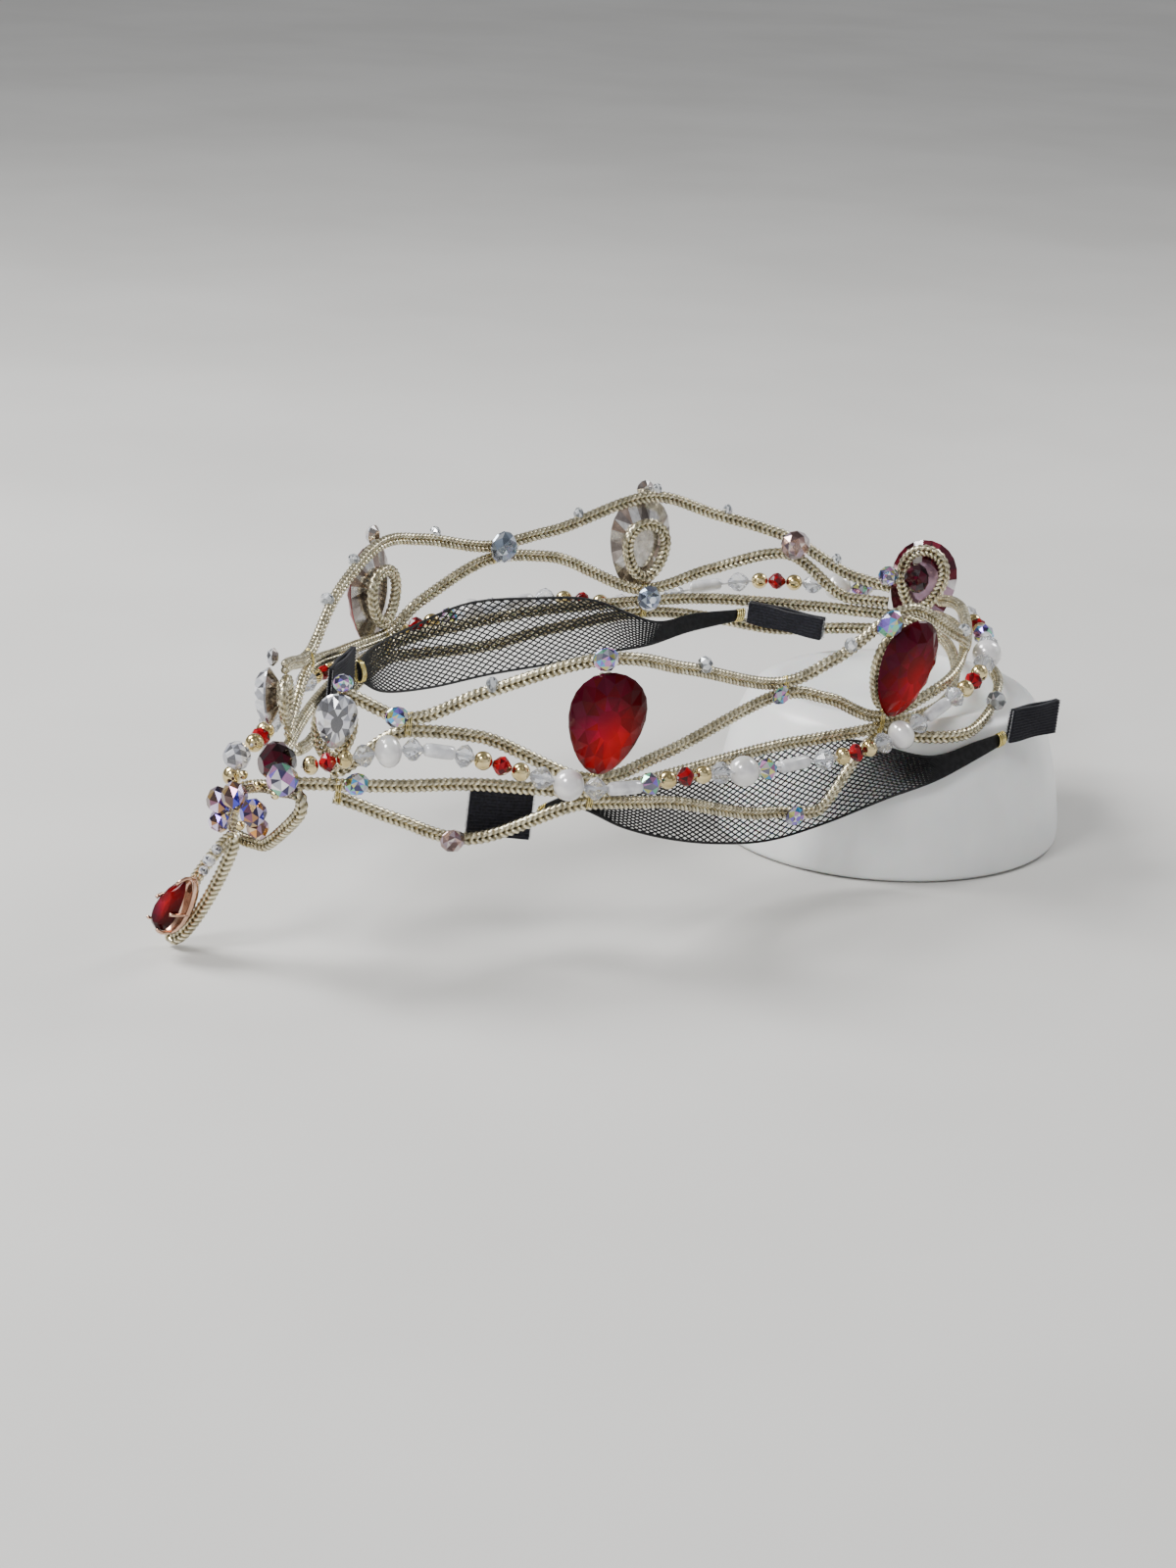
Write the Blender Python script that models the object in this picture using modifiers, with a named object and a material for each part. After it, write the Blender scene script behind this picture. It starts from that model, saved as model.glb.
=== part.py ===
"""Ballet tiara resting on a plain upturned bowl: the construction model.

Run with: blender --background --python part.py

Sizes and places are millimetres in the tables below, and MM turns them into metres.
The ring of the tiara is laid out in its own frame: the front is -Y, the near side is +X,
and height is measured from the plane of the base band. ring_matrix() sets it on the bowl.
"""
import math
from collections import namedtuple

import bmesh
import bpy
from mathutils import Matrix, Vector

MM = 0.001

RING_X = -3.4
RING_Y = 8.0
RING_HEIGHT = 43.9
RING_TILT_DEG = 6.95
CROWN_FLARE = 0.12

CORD_RADIUS = 1.45
GAP = 0.3
KISS = 2 * CORD_RADIUS + GAP
SEAT = CORD_RADIUS + GAP
SAMPLES_PER_ROW = 3

# Each row is one place round the ring, from the front along the near side to the back and home again.
# x and y place the base band. The heights are those of the cords there, and None means that the cord
# touches the one below it (middle on base, upper on middle) or above it (lower under base).
Station = namedtuple("Station", "name x y base middle upper lower lower_out beads beads_out")
STATIONS = (
    Station("front", 5, -111, 0, None, 20, None, 0, 5.4, 5.8),
    Station("clear_near", 13, -102, 0, None, 23.5, None, 0, 8.8, 5.8),
    Station("valley_1", 21, -88, 0, 14.3, None, -8.7, 0, 12.2, 5.8),
    Station("rise_1", 28, -72, 0, 12.4, 24, -14.5, 0, 9, 5.8),
    Station("pear_1", 43, -50, 0, None, 34.4, None, 0, 3.4, 5.8),
    Station("rise_2", 44.5, -30, 0, 6.5, 28.7, -6, 1.5, 2.6, 6.2),
    Station("valley_2", 43.5, 6, 0, 14.6, None, -16.6, 3.5, -2, 7),
    Station("rise_3", 45.5, 21, 0.3, 11.5, 22.5, -18, 5, -2, 7),
    Station("pear_2", 48.5, 38.5, 1.2, None, 33.6, None, 0, 0.9, 6.5),
    Station("rise_4", 49, 58, 3, 9.5, 23.3, 0.4, 11, 10, 5.8),
    Station("valley_3", 38.5, 76, 3.6, 11.5, None, 3.8, 11, 12.4, 5.8),
    Station("rise_5", 17, 97, 1.4, 7, 12.3, 1.6, 4, 7.5, 5.8),
    Station("pear_3", -2, 104, 0, None, 6.8, None, 0, 6, 5.8),
    Station("rise_6", -15, 93, 0, None, 9.2, -5, 0, 4, 5.8),
    Station("valley_4", -27, 78, 0, 13.6, 18.2, -7, 0, 4, 5.8),
    Station("rise_7", -38, 62, 0, 8, 22.8, -5, 0, 1.2, 5.8),
    Station("pear_4", -44, 44, 0, None, 28, None, 0, -2.9, 5.8),
    Station("rise_8", -50, 16, 0, 14, 20.8, -5.5, 0, 0.8, 5.8),
    Station("valley_5", -51, -2, 0, 16, None, -7, 0, 0, 5.8),
    Station("rise_9", -50, -26, 0, 9, 24.6, -5, 0, -0.4, 5.8),
    Station("pear_5", -47, -40, 0, None, 26.9, None, 0, -2.9, 5.8),
    Station("rise_10", -37, -61, 0, 6, 21.5, -6, 0, -0.5, 5.8),
    Station("valley_6", -24, -80, 0, 10, None, -8, 0, 1, 5.8),
    Station("clear_far", -8.5, -97.5, 0, None, 19, None, 0, 2, 5.8),
)
INDEX = {row.name: number for number, row in enumerate(STATIONS)}
BACK = INDEX["pear_3"]
CLEAR_FAR = INDEX["clear_far"]

BACK_CLEARANCE = 0.45
HEM_START_NEAR = 0.1
HEM_END_NEAR = 0.3
HEM_END_FAR = 0.45
NEAR_STRING_START = 0.5
FAR_STRING_START = len(STATIONS) - 0.5
STRING_END_GAP = 0.6

# Pears: how far the tip stands over the base band, the loop's span of heights behind it, and how far
# the two are turned about their own height.
PearRow = namedtuple("PearRow", "name station tip loop_low loop_high turn")
RED_PEARS = (
    PearRow("1", "pear_1", 6.8, 7.0, 29.5, -12),
    PearRow("2", "pear_2", 6.4, 7.8, 28.0, 0),
    PearRow("3", "pear_3", -5.0, 3.4, 19.5, 26),
    PearRow("4", "pear_4", 1.0, 6.5, 20.8, 0),
    PearRow("5", "pear_5", -0.4, 6.5, 19.8, 0),
)
CLEAR_PEARS = (
    PearRow("near", "clear_near", 11.6, 7.0, 20.6, 0),
    PearRow("far", "clear_far", 4.8, 6.5, 15.6, 0),
)
PEAR_LENGTH = 26.5
PEAR_WIDTH = 19.0
PEAR_DEPTH = 5.5
CLEAR_LENGTH = 14.0
CLEAR_WIDTH = 10.0
CLEAR_DEPTH = 5.0
LOOP_WIDTH = 12.0
SMALL_LOOP_WIDTH = 8.0
LOOP_POINTS = 16

# Small stones: station, offset along the ring in stations, cord they sit on, side (+1 outside, -1 inside),
# extra height, diameter and material.
StoneRow = namedtuple("StoneRow", "name station along cord side lift diameter finish")
STONES = (
    StoneRow("peak_stone_1", "pear_1", -0.1, "upper", 1, 1.7, 6.0, "aurora"),
    StoneRow("peak_stone_2", "pear_2", -0.4, "upper", 1, 2.1, 7.4, "aurora"),
    StoneRow("peak_stone_4", "pear_4", 0.0, "upper", 1, 1.4, 5.0, "crystal"),
    StoneRow("peak_stone_5", "pear_5", 0.0, "upper", 1, 1.6, 5.0, "crystal"),
    StoneRow("valley_stone_1", "valley_1", -0.2, "upper", 1, 1.4, 5.4, "aurora"),
    StoneRow("valley_stone_2", "valley_2", -0.12, "upper", 1, -1.6, 5.0, "aurora"),
    StoneRow("valley_stone_4", "valley_4", -0.1, "upper", -1, -0.6, 8.0, "blush"),
    StoneRow("valley_stone_5", "valley_5", 0.0, "upper", -1, 0.4, 8.4, "smoke"),
    StoneRow("hem_stone_1", "rise_1", -0.2, "lower", 1, 1.0, 6.0, "blush"),
    StoneRow("hem_stone_2", "valley_2", 0.42, "lower", 1, 1.0, 5.4, "aurora"),
    StoneRow("brow_stone_near", "clear_near", 0.38, "base", 1, 2.2, 5.8, "aurora"),
    StoneRow("crest_stone_near", "clear_near", 0.05, "upper", 1, 4.1, 4.6, "aurora"),
    StoneRow("crest_stone_far", "clear_far", -0.05, "upper", 1, 2.2, 4.4, "crystal"),
    StoneRow("inside_stone_4", "pear_4", 0.0, "base", -1, 1.6, 7.0, "smoke"),
    StoneRow("inside_stone_3", "pear_3", -0.05, "upper", -1, 5.4, 8.0, "garnet"),
    StoneRow("inside_crystal_3", "pear_3", 0.52, "upper", -1, 3.4, 5.6, "aurora"),
)
STONE_DEPTH_RATIO = 0.52

# The cluster at the brow, in the ring frame: centre and diameter.
ClusterRow = namedtuple("ClusterRow", "name x y z diameter finish")
CLUSTER = (
    ClusterRow("garnet_stone", 9.2, -114.0, 6.3, 8.6, "garnet"),
    ClusterRow("cluster_crystal_near", 16.8, -118.0, 6.0, 7.0, "aurora"),
    ClusterRow("cluster_crystal_far", -5.5, -114.2, 1.9, 6.2, "crystal"),
    ClusterRow("cluster_gold", -7.0, -114.0, -3.7, 4.8, "gold"),
    ClusterRow("cluster_aurora_far", -4.2, -119.0, -7.6, 6.0, "aurora"),
    ClusterRow("cluster_aurora_mid", 1.6, -119.3, -4.0, 6.0, "aurora"),
    ClusterRow("cluster_aurora_near", 9.9, -120.0, -4.5, 6.0, "aurora"),
    ClusterRow("cluster_amber", 8.3, -117.3, -9.4, 5.0, "amber"),
    ClusterRow("cluster_violet", -4.1, -118.8, -12.8, 4.8, "aurora"),
)

# The loop below the brow hangs in an upright plane, as x and height.
BROW_LOOP_Y = -114.2
BROW_LOOP = ((4.6, -1.4), (11.0, 0.2), (17.8, 2.0), (19.4, -0.8), (16.5, -5.4), (8.7, -13.7), (4.4, -15.6),
             (-3.1, -16.8), (-5.4, -13.1), (-3.3, -5.8))

# The forehead drop, in the ring frame: top and tip of its loop, and the stone's place along it.
DROP_TOP = (1.0, -118.0, -14.6)
DROP_TIP = (-10.6, -125.0, -43.6)
DROP_LOOP_WIDTH = 6.6
DROP_STONE_LENGTH = 15.0
DROP_STONE_WIDTH = 7.0
DROP_STONE_DEPTH = 4.0
DROP_SETTING_RIM = 0.8
DROP_SETTING_DEPTH = 3.0
DROP_STONE_FROM_TIP = 2.6

# One repeat of the bead string, threaded from the front: each bead's length and its greatest radius.
BeadRow = namedtuple("BeadRow", "kind length radius")
BEAD_REPEAT = (
    BeadRow("ball", 4.6, 2.2),
    BeadRow("bicone", 4.8, 2.4),
    BeadRow("ball", 4.6, 2.2),
    BeadRow("bicone", 5.8, 2.8),
    BeadRow("pearl", 7.6, 3.7),
    BeadRow("bicone", 5.8, 2.8),
    BeadRow("tube", 9.4, 1.9),
    BeadRow("bicone", 5.8, 2.8),
)
# How far each repeat is stretched along its string. The last value holds for the rest.
NEAR_STRETCH = (0.82, 0.96, 1.2, 0.82, 1.0)
FAR_STRETCH = (1.1, 0.86, 1.1, 1.2, 1.0)
BEAD_PROFILES = {
    "ball": ((0.2, 0.8), (0.5, 1.0), (0.8, 0.8)),
    "bicone": ((0.5, 1.0),),
    "pearl": ((0.16, 0.74), (0.5, 1.0), (0.84, 0.74)),
    "tube": ((0.1, 1.0), (0.9, 1.0)),
}
THREAD_RADIUS = 0.8
THREAD_SAMPLES_PER_ROW = 12
BEAD_SIDES = 10

# The crinoline bands, in the ring frame: top edge and bottom edge at each fold.
NetRow = namedtuple("NetRow", "top_x top_y top_z bottom_x bottom_y bottom_z")
NET_NEAR = (
    NetRow(32.6, -55.6, -7.4, 32.2, -55.9, -11.0),
    NetRow(39.0, -50.5, -2.0, 38.6, -50.5, -5.6),
    NetRow(40.2, -36.0, -2.6, 41.0, -36.0, -13.0),
    NetRow(39.8, -20.0, -3.6, 41.0, -20.0, -19.5),
    NetRow(39.0, -4.0, -4.0, 41.4, -4.0, -24.0),
    NetRow(39.2, 12.0, -3.8, 43.0, 12.0, -26.0),
    NetRow(40.2, 28.0, -3.6, 46.0, 28.0, -23.5),
    NetRow(44.4, 39.4, -4.6, 54.0, 39.4, -16.0),
    NetRow(56.6, 50.0, -5.8, 60.2, 49.4, -10.6),
    NetRow(60.4, 63.0, -2.8, 62.2, 62.0, -6.0),
    NetRow(61.8, 70.2, -1.4, 62.0, 70.2, -4.0),
)
NET_FAR = (
    NetRow(-34.4, -58.6, 3.6, -33.4, -58.4, 0.0),
    NetRow(-41.6, -48.0, 3.6, -34.0, -50.0, -5.0),
    NetRow(-45.2, -34.0, 5.0, -37.6, -32.0, -8.6),
    NetRow(-47.0, -14.0, 7.6, -39.0, -12.0, -9.2),
    NetRow(-46.6, 8.0, 5.6, -38.4, 8.0, -9.6),
    NetRow(-44.4, 26.0, 3.0, -36.6, 26.0, -8.8),
    NetRow(-37.0, 42.0, -3.0, -33.6, 38.0, -7.6),
    NetRow(-34.0, 54.0, -1.8, -32.0, 51.0, -5.2),
    NetRow(-28.2, 66.8, -0.6, -28.4, 66.4, -3.0),
)
NET_WALL = 1.0
NET_ROW_STEPS = 2
NET_ACROSS = 2
NET_HEADING_STEP = 0.1

# Ribbon tabs, in the ring frame: centre, length along its run, width, thickness and turn about the height.
TabRow = namedtuple("TabRow", "name x y z length thickness width turn")
TABS = (
    TabRow("ribbon_tab_near_front", 27.5, -62.9, -9.4, 15.0, 2.0, 12.0, 56),
    TabRow("ribbon_tab_near_back", 63.2, 79.4, 1.0, 17.0, 2.0, 9.0, 88),
    TabRow("ribbon_tab_far_front", -29.0, -67.5, 2.5, 17.0, 2.0, 13.0, -56),
    TabRow("ribbon_tab_far_back", -18.5, 72.6, -0.8, 21.0, 3.2, 6.0, 29),
)
TAB_BEVEL = 0.4

BOWL_X = 18.6
BOWL_Y = 80.0
# Half section of the upturned bowl, outside then inside, as radius and height.
BOWL_OUTSIDE = ((44.3, 0), (44.5, 4), (43.2, 15), (40.6, 26), (37.2, 34), (34.4, 36.8), (31.4, 38))
BOWL_WALL = 2.6
BOWL_STEPS = 32
MERGE_DISTANCE = 0.01

COLOURS = {
    "cord": ((0.62, 0.54, 0.38), 0.45, 0.6),
    "red": ((0.45, 0.01, 0.02), 0.08, 0.0),
    "crystal": ((0.85, 0.88, 0.9), 0.05, 0.0),
    "aurora": ((0.72, 0.7, 0.85), 0.08, 0.3),
    "amber": ((0.8, 0.5, 0.25), 0.08, 0.0),
    "blush": ((0.8, 0.6, 0.58), 0.08, 0.1),
    "smoke": ((0.45, 0.52, 0.6), 0.08, 0.2),
    "garnet": ((0.12, 0.0, 0.02), 0.06, 0.0),
    "gold": ((0.85, 0.62, 0.25), 0.25, 1.0),
    "rose_gold": ((0.8, 0.5, 0.38), 0.25, 1.0),
    "beads": ((0.88, 0.86, 0.82), 0.2, 0.0),
    "net": ((0.02, 0.02, 0.02), 0.6, 0.0),
    "ribbon": ((0.015, 0.015, 0.02), 0.7, 0.0),
    "bowl": ((0.85, 0.86, 0.86), 0.4, 0.0),
}


def clear_scene():
    for obj in list(bpy.data.objects):
        bpy.data.objects.remove(obj)


def make_material(name):
    colour, roughness, metallic = COLOURS[name]
    material = bpy.data.materials.new(name)
    material.use_nodes = True
    shader = material.node_tree.nodes["Principled BSDF"]
    shader.inputs["Base Color"].default_value = (*colour, 1.0)
    shader.inputs["Roughness"].default_value = roughness
    shader.inputs["Metallic"].default_value = metallic
    material.diffuse_color = (*colour, 1.0)
    return material


def ring_matrix():
    tilt = Matrix.Rotation(math.radians(RING_TILT_DEG), 4, "Y")
    return Matrix.Translation((RING_X, RING_Y, RING_HEIGHT)) @ tilt


RING = ring_matrix()


def to_world(point):
    return (RING @ Vector(point)) * MM


def slope(values, number):
    """Slope of a smooth track through the rows that never passes beyond its highs and lows."""
    before = values[number] - values[number - 1]
    after = values[(number + 1) % len(values)] - values[number]
    if before * after <= 0:
        return 0.0
    return 2 * before * after / (before + after)


def hermite(start, end, start_slope, end_slope, t):
    return (
        start * (2 * t**3 - 3 * t**2 + 1)
        + end * (3 * t**2 - 2 * t**3)
        + start_slope * (t**3 - 2 * t**2 + t)
        + end_slope * (t**3 - t**2)
    )


def track(values, place):
    """Read a column of the station table between its rows."""
    number = math.floor(place) % len(values)
    following = (number + 1) % len(values)
    part = place - math.floor(place)
    return hermite(values[number], values[following], slope(values, number), slope(values, following), part)


def plan(place):
    """The base band's place and its outward direction, on a closed smooth curve through the stations."""
    count = len(STATIONS)
    number = math.floor(place)
    part = place - number
    rows = [STATIONS[(number + step) % count] for step in (-1, 0, 1, 2)]
    before, start, end, after = [Vector((row.x, row.y)) for row in rows]
    enter = (end - before) / 2
    leave = (after - start) / 2
    point = hermite(start, end, enter, leave, part)
    heading = (
        start * (6 * part**2 - 6 * part)
        + end * (6 * part - 6 * part**2)
        + enter * (3 * part**2 - 4 * part + 1)
        + leave * (3 * part**2 - 2 * part)
    )
    outward = Vector((heading.y, -heading.x)).normalized()
    return point, outward


def filled(column, below, step):
    """A column of heights, with None resolved to a cord that touches its neighbour."""
    return [base + step if value is None else value for value, base in zip(column, below)]


BASE = [row.base for row in STATIONS]
MIDDLE = filled([row.middle for row in STATIONS], BASE, KISS)
UPPER = filled([row.upper for row in STATIONS], MIDDLE, KISS)
LOWER = filled([row.lower for row in STATIONS], BASE, -KISS)
LOWER_OUT = [row.lower_out for row in STATIONS]
BEADS = [row.beads for row in STATIONS]
BEADS_OUT = [row.beads_out for row in STATIONS]
HEIGHTS = {"base": BASE, "middle": MIDDLE, "upper": UPPER, "lower": LOWER, "beads": BEADS}
OFFSETS = {"lower": LOWER_OUT, "beads": BEADS_OUT}


def crown_point(place, height, out=0.0):
    """A point on the crown's surface, in the ring frame."""
    point, outward = plan(place)
    spread = point + outward * (out + CROWN_FLARE * height)
    return Vector((spread.x, spread.y, height))


def cord_point(cord, place):
    out = track(OFFSETS[cord], place) if cord in OFFSETS else 0.0
    return crown_point(place, track(HEIGHTS[cord], place), out)


def link(obj, material):
    PARTS.objects.link(obj)
    obj.data.materials.append(material)
    return obj


def add_cord(name, points, material, closed=False, roundness=2):
    """A cord through points of the ring frame."""
    curve = bpy.data.curves.new(name, "CURVE")
    curve.dimensions = "3D"
    curve.bevel_depth = CORD_RADIUS * MM
    curve.bevel_resolution = roundness
    curve.use_fill_caps = not closed
    spline = curve.splines.new("POLY")
    spline.points.add(len(points) - 1)
    for knot, point in zip(spline.points, points):
        knot.co = (*to_world(point), 1.0)
    spline.use_cyclic_u = closed
    link(bpy.data.objects.new(name, curve), material)


def cord_run(cord, start, end):
    count = round((end - start) * SAMPLES_PER_ROW)
    return [cord_point(cord, start + (end - start) * k / count) for k in range(count + 1)]


def add_loft(name, rings, material):
    """A closed skin over rings of points in the ring frame, all with the same number of points."""
    mesh = bmesh.new()
    rows = [[mesh.verts.new(to_world(point)) for point in ring] for ring in rings]
    sides = len(rows[0])
    for lower_row, upper_row in zip(rows, rows[1:]):
        for side in range(sides):
            following = (side + 1) % sides
            mesh.faces.new((lower_row[side], lower_row[following], upper_row[following], upper_row[side]))
    mesh.faces.new(list(reversed(rows[0])))
    mesh.faces.new(rows[-1])
    bmesh.ops.recalc_face_normals(mesh, faces=mesh.faces)
    data = bpy.data.meshes.new(name)
    mesh.to_mesh(data)
    mesh.free()
    link(bpy.data.objects.new(name, data), material)


# A pear's outline is an ellipse made narrower toward its tip: the share of the width left at the tip,
# and the factor that brings the widest place back to the full width.
PEAR_TIP_SHARE = 0.62
PEAR_FULLNESS = 1.12


def pear_outline(length, width, count):
    """A pear shape with its tip at the origin and its round end up, as x and height."""
    outline = []
    for k in range(count):
        angle = 2 * math.pi * k / count
        rise = (1 - math.cos(angle)) / 2
        swell = math.sin(angle) * (PEAR_TIP_SHARE + (1 - PEAR_TIP_SHARE) * rise)
        outline.append((swell * width / 2 * PEAR_FULLNESS, length * rise))
    return outline


def place_frame(place, height, out=0.0):
    """Origin, along, outward and up directions of the crown's surface at a place."""
    origin = crown_point(place, height, out)
    _, outward = plan(place)
    lean = Vector((outward.x * CROWN_FLARE, outward.y * CROWN_FLARE, 1)).normalized()
    along = lean.cross(Vector((outward.x, outward.y, 0))).normalized()
    facing = along.cross(lean).normalized()
    return origin, along, facing, lean


# A cut stone from its back to its table: share of the outline's size and share of the depth.
STONE_TIERS = ((0.5, 0.0), (1.0, 0.42), (0.97, 0.52), (0.62, 1.0))
# A faceted bead from pole to pole: share of its radius along its hole and round it.
BALL_TIERS = ((-0.82, 0.5), (-0.4, 0.92), (0.0, 1.0), (0.4, 0.92), (0.82, 0.5))
PEAR_CENTRE = 0.58
PEAR_SIDES = 14
STONE_SIDES = 10


def add_pear(name, origin, axes, length, width, depth, material):
    along, facing, up = axes
    middle = length * PEAR_CENTRE
    rings = []
    for scale, level in STONE_TIERS:
        ring = []
        for x, height in pear_outline(length, width, PEAR_SIDES):
            rise = middle + (height - middle) * scale
            ring.append(origin + along * x * scale + up * rise + facing * level * depth)
        rings.append(ring)
    add_loft(name, rings, material)


def add_round_stone(name, centre, axes, diameter, depth, material):
    along, facing, up = axes
    rings = []
    for scale, level in STONE_TIERS:
        ring = []
        for k in range(STONE_SIDES):
            angle = 2 * math.pi * k / STONE_SIDES
            spoke = along * math.cos(angle) + up * math.sin(angle)
            ring.append(centre + spoke * scale * diameter / 2 + facing * (level - 0.5) * depth)
        rings.append(ring)
    add_loft(name, rings, material)


def loop_points(origin, along, up, low, high, width):
    points = []
    for x, height in pear_outline(high - low, width, LOOP_POINTS):
        points.append(origin + along * x + up * (low + height))
    return points


def add_pear_group(row, loop_name, pear_name, size, loop_width, pear_material):
    """One pear stone on the outside of its cord loop."""
    place = INDEX[row.station]
    origin, along, facing, up = place_frame(place, 0)
    turn = Matrix.Rotation(math.radians(row.turn), 3, up)
    along = turn @ along
    facing = turn @ facing
    length, width, depth = size
    points = loop_points(origin, along, up, row.loop_low, row.loop_high, loop_width)
    add_cord(loop_name, points, MATERIALS["cord"], closed=True, roundness=1)
    seat = origin + facing * SEAT + up * row.tip
    add_pear(pear_name, seat, (along, facing, up), length, width, depth, pear_material)


def add_cords():
    cord = MATERIALS["cord"]
    rows = len(STATIONS)
    near_start = INDEX["clear_near"]
    near_end = BACK - BACK_CLEARANCE
    far_start = BACK + BACK_CLEARANCE
    count = rows * SAMPLES_PER_ROW
    add_cord("base_band", [cord_point("base", k / SAMPLES_PER_ROW) for k in range(count)], cord, closed=True)
    for wave in ("upper", "middle"):
        add_cord(wave + "_wave_near", cord_run(wave, near_start, near_end), cord)
        add_cord(wave + "_wave_far", cord_run(wave, far_start, CLEAR_FAR), cord)
    hem_run = cord_run("lower", near_start + HEM_START_NEAR, BACK - 1 - HEM_END_NEAR)
    add_cord("lower_wave_near", hem_run, cord)
    add_cord("lower_wave_far", cord_run("lower", far_start, CLEAR_FAR - HEM_END_FAR), cord)


def add_stones():
    for row in STONES:
        place = INDEX[row.station] + row.along
        height = track(HEIGHTS[row.cord], place) + row.lift
        out = track(OFFSETS[row.cord], place) if row.cord in OFFSETS else 0.0
        origin, along, facing, up = place_frame(place, height, out)
        depth = row.diameter * STONE_DEPTH_RATIO
        facing = facing * row.side
        centre = origin + facing * (SEAT + depth / 2)
        add_round_stone(row.name, centre, (along, facing, up), row.diameter, depth, MATERIALS[row.finish])


def add_ball(name, centre, diameter, material):
    """A faceted bead: a low ball with flat poles."""
    rings = []
    for level, scale in BALL_TIERS:
        ring = []
        for k in range(STONE_SIDES):
            angle = 2 * math.pi * k / STONE_SIDES
            spoke = Vector((math.cos(angle) * scale, level, math.sin(angle) * scale))
            ring.append(centre + spoke * diameter / 2)
        rings.append(ring)
    add_loft(name, rings, material)


def add_brow():
    for row in CLUSTER:
        add_ball(row.name, Vector((row.x, row.y, row.z)), row.diameter, MATERIALS[row.finish])
    count = len(BROW_LOOP)
    points = []
    for k in range(count * SAMPLES_PER_ROW):
        number, step = divmod(k, SAMPLES_PER_ROW)
        before, start, end, after = [Vector(BROW_LOOP[(number + near) % count]) for near in (-1, 0, 1, 2)]
        flat = hermite(start, end, (end - before) / 2, (after - start) / 2, step / SAMPLES_PER_ROW)
        points.append(Vector((flat.x, BROW_LOOP_Y, flat.y)))
    add_cord("brow_loop", points, MATERIALS["cord"], closed=True)


def add_drop():
    top = Vector(DROP_TOP)
    tip = Vector(DROP_TIP)
    up = (top - tip).normalized()
    length = (top - tip).length
    along = up.cross(Vector((0, -1, 0))).normalized()
    facing = along.cross(up).normalized()
    if facing.y > 0:
        facing = -facing
        along = -along
    points = []
    for x, height in pear_outline(length, DROP_LOOP_WIDTH, LOOP_POINTS):
        points.append(tip + along * x + up * (length - height))
    add_cord("drop_loop", points, MATERIALS["cord"], closed=True)
    rim = DROP_SETTING_RIM
    foot = tip + up * (DROP_STONE_FROM_TIP + DROP_STONE_LENGTH + rim) + facing * SEAT
    size = (DROP_STONE_LENGTH + 2 * rim, DROP_STONE_WIDTH + 2 * rim, DROP_SETTING_DEPTH)
    add_pear("drop_setting", foot + up * rim, (along, facing, -up), *size, MATERIALS["rose_gold"])
    seat = foot + facing * (DROP_SETTING_DEPTH + GAP)
    size = (DROP_STONE_LENGTH, DROP_STONE_WIDTH, DROP_STONE_DEPTH)
    add_pear("drop_stone", seat, (along, facing, -up), *size, MATERIALS["red"])


def string_path(start, end):
    """Points of the bead thread with the distance run to each of them."""
    count = round(abs(end - start) * THREAD_SAMPLES_PER_ROW)
    points = [cord_point("beads", start + (end - start) * k / count) for k in range(count + 1)]
    runs = [0.0]
    for before, after in zip(points, points[1:]):
        runs.append(runs[-1] + (after - before).length)
    return points, runs


def along_path(points, runs, distance):
    distance = min(max(distance, 0.0), runs[-1])
    number = 0
    while number < len(runs) - 2 and runs[number + 1] < distance:
        number += 1
    part = (distance - runs[number]) / (runs[number + 1] - runs[number])
    return points[number].lerp(points[number + 1], part), (points[number + 1] - points[number]).normalized()


def threaded_beads(thread_length, stretch):
    """The beads that a thread holds, each as where it starts, its own length and its row."""
    beads = []
    distance = GAP
    while True:
        repeat, number = divmod(len(beads), len(BEAD_REPEAT))
        row = BEAD_REPEAT[number]
        length = row.length * stretch[min(repeat, len(stretch) - 1)]
        if distance + length > thread_length - GAP:
            return beads
        beads.append((distance, length, row))
        distance += length


def add_string(name, start, end, stretch):
    """Beads threaded end to end from the front: each is a swell of one long turned body."""
    points, runs = string_path(start, end)
    sections = [(0.0, THREAD_RADIUS)]
    for distance, length, bead in threaded_beads(runs[-1], stretch):
        sections.append((distance, THREAD_RADIUS))
        for share, swell in BEAD_PROFILES[bead.kind]:
            sections.append((distance + length * share, bead.radius * swell))
    sections.append((distance + length, THREAD_RADIUS))
    rings = []
    for run, radius in sections:
        centre, heading = along_path(points, runs, run)
        across = heading.cross(Vector((0, 0, 1))).normalized()
        rise = across.cross(heading).normalized()
        ring = []
        for k in range(BEAD_SIDES):
            angle = 2 * math.pi * k / BEAD_SIDES
            ring.append(centre + (across * math.cos(angle) + rise * math.sin(angle)) * radius)
        rings.append(ring)
    add_loft(name, rings, MATERIALS["beads"])


def net_edges(rows, place):
    count = len(rows)
    number = min(int(place), count - 2)
    part = place - number
    corners = [rows[min(max(number + step, 0), count - 1)] for step in (-1, 0, 1, 2)]
    before, start, end, after = [(Vector(row[:3]), Vector(row[3:])) for row in corners]
    edges = []
    for side in (0, 1):
        enter = (end[side] - before[side]) / 2
        leave = (after[side] - start[side]) / 2
        edges.append(hermite(start[side], end[side], enter, leave, part))
    return edges


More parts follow.
